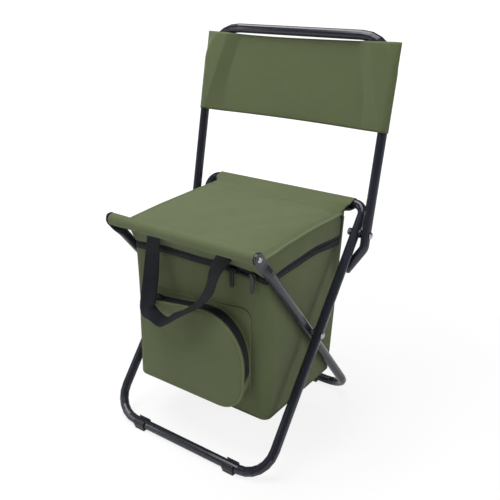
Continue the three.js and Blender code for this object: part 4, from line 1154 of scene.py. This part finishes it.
def make_panel():
    rows = [panel_row(0, 9, 0.75), panel_row(0, 0.4, 0.6)]
    rows += [panel_row(share) for share in np.linspace(0, 1, 41)]
    rows += [panel_row(1, -0.4, 0.6), panel_row(1, -9, 0.75)]
    panel = grid_piece("backrest_cloth", rows, cloth, wrap=True)
    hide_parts("backrest_panel")
    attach(panel, "backrest")

    tall = PANEL_HIGH - PANEL_LOW
    x, share = np.linspace(3 - PANEL_SEAM_X, PANEL_SEAM_X - 3, 130), np.linspace(0.02, 0.86, 60)
    seams = [(x, at) for at in (6 / tall, 1 - 6 / tall)]
    seams += [(hand * (PANEL_SEAM_X - inset), share) for hand in (-1, 1) for inset in (1, 5.5)]
    paths = [on_back(x, PANEL_LOW + tall * share + panel_sag(x, share), 0.75 + panel_curve(x, share))
             for x, share in seams]
    threads = stitching("backrest_stitching", [(path, (0, -BACK_UP[1], BACK_UP[0])) for path in paths])
    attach(threads, "backrest")


make_panel()


# Floor, light and camera

FLOOR_SIZE, FLOOR_COLOUR, ROOM_LIGHT = 70, (0.92, 0.92, 0.92, 1), 0.05
GLOW_NEAR, GLOW_FAR, GLOW_SHARE, MIRRORED_SHARE = 1.04, 1.3, 0.82, 0.35
CAMERA_PLACE, CAMERA_LENS, SENSOR_WIDTH = (0.5967, -0.8064, 0.7011), 48.85, 36
CAMERA_DOWN, CAMERA_TURN = 22.33, 35.65


def make_stage():
    bpy.ops.mesh.primitive_plane_add(size=FLOOR_SIZE)
    floor = bpy.context.object
    floor.name = "floor"
    m = Material("pale_floor")
    m.set(Base_Color=FLOOR_COLOUR, Roughness=1.0, Specular_IOR_Level=0.0)
    away = m.node("ShaderNodeVectorMath", {0: m.places()}, operation="LENGTH").outputs["Value"]
    glow = m.node("ShaderNodeEmission", {"Strength": m.ramp(away, 0.5, 1.6, GLOW_NEAR, GLOW_FAR)})
    path = m.node("ShaderNodeLightPath")
    mirrored = m.times(path.outputs["Is Glossy Ray"], MIRRORED_SHARE)
    seen = m.math("MAXIMUM", path.outputs["Is Camera Ray"], mirrored)
    share = m.times(seen, GLOW_SHARE)
    mix = m.node("ShaderNodeMixShader", {0: share, 1: m.shader.outputs[0], 2: glow.outputs[0]})
    m.put(m.output.inputs["Surface"], mix.outputs[0])
    floor.data.materials.append(m.material)

    world = bpy.data.worlds.new("studio")
    bpy.context.scene.world = world
    world.use_nodes = True
    room = world.node_tree.nodes["Background"]
    room.inputs["Color"].default_value = (0.95, 0.97, 1.0, 1)
    room.inputs["Strength"].default_value = ROOM_LIGHT


def lamp(name, place, target, size, power):
    data = bpy.data.lights.new(name, "AREA")
    data.shape = "RECTANGLE"
    data.size, data.size_y = size
    data.energy = power
    made = new_object(name, data)
    made.location = place
    way = np.asarray(target, float) - np.asarray(place, float)
    flat = math.hypot(way[0], way[1])
    made.rotation_euler = (math.atan2(flat, -way[2]), 0, math.atan2(-way[0], way[1]))


make_stage()
lamp("top", (-0.5, -0.22, 2.25), (0, 0, 0.3), (2.0, 1.3), 49)
lamp("key", (-1.7, -1.4, 1.1), (0, 0, 0.3), (0.8, 1.4), 13)
lamp("side", (2.0, 0.3, 1.2), (0, 0, 0.3), (0.9, 1.4), 12)
lamp("strip", (1.45, -1.26, 1.25), (0.15, 0, 0.2), (0.3, 0.8), 5)

camera = new_object("camera", bpy.data.cameras.new("camera"))
camera.location = CAMERA_PLACE
camera.rotation_euler = (math.radians(90 - CAMERA_DOWN), 0, math.radians(CAMERA_TURN))
camera.data.lens = CAMERA_LENS
camera.data.sensor_width = SENSOR_WIDTH
bpy.context.scene.camera = camera
bpy.context.scene.view_settings.view_transform = "Standard"

bpy.context.view_layer.update()
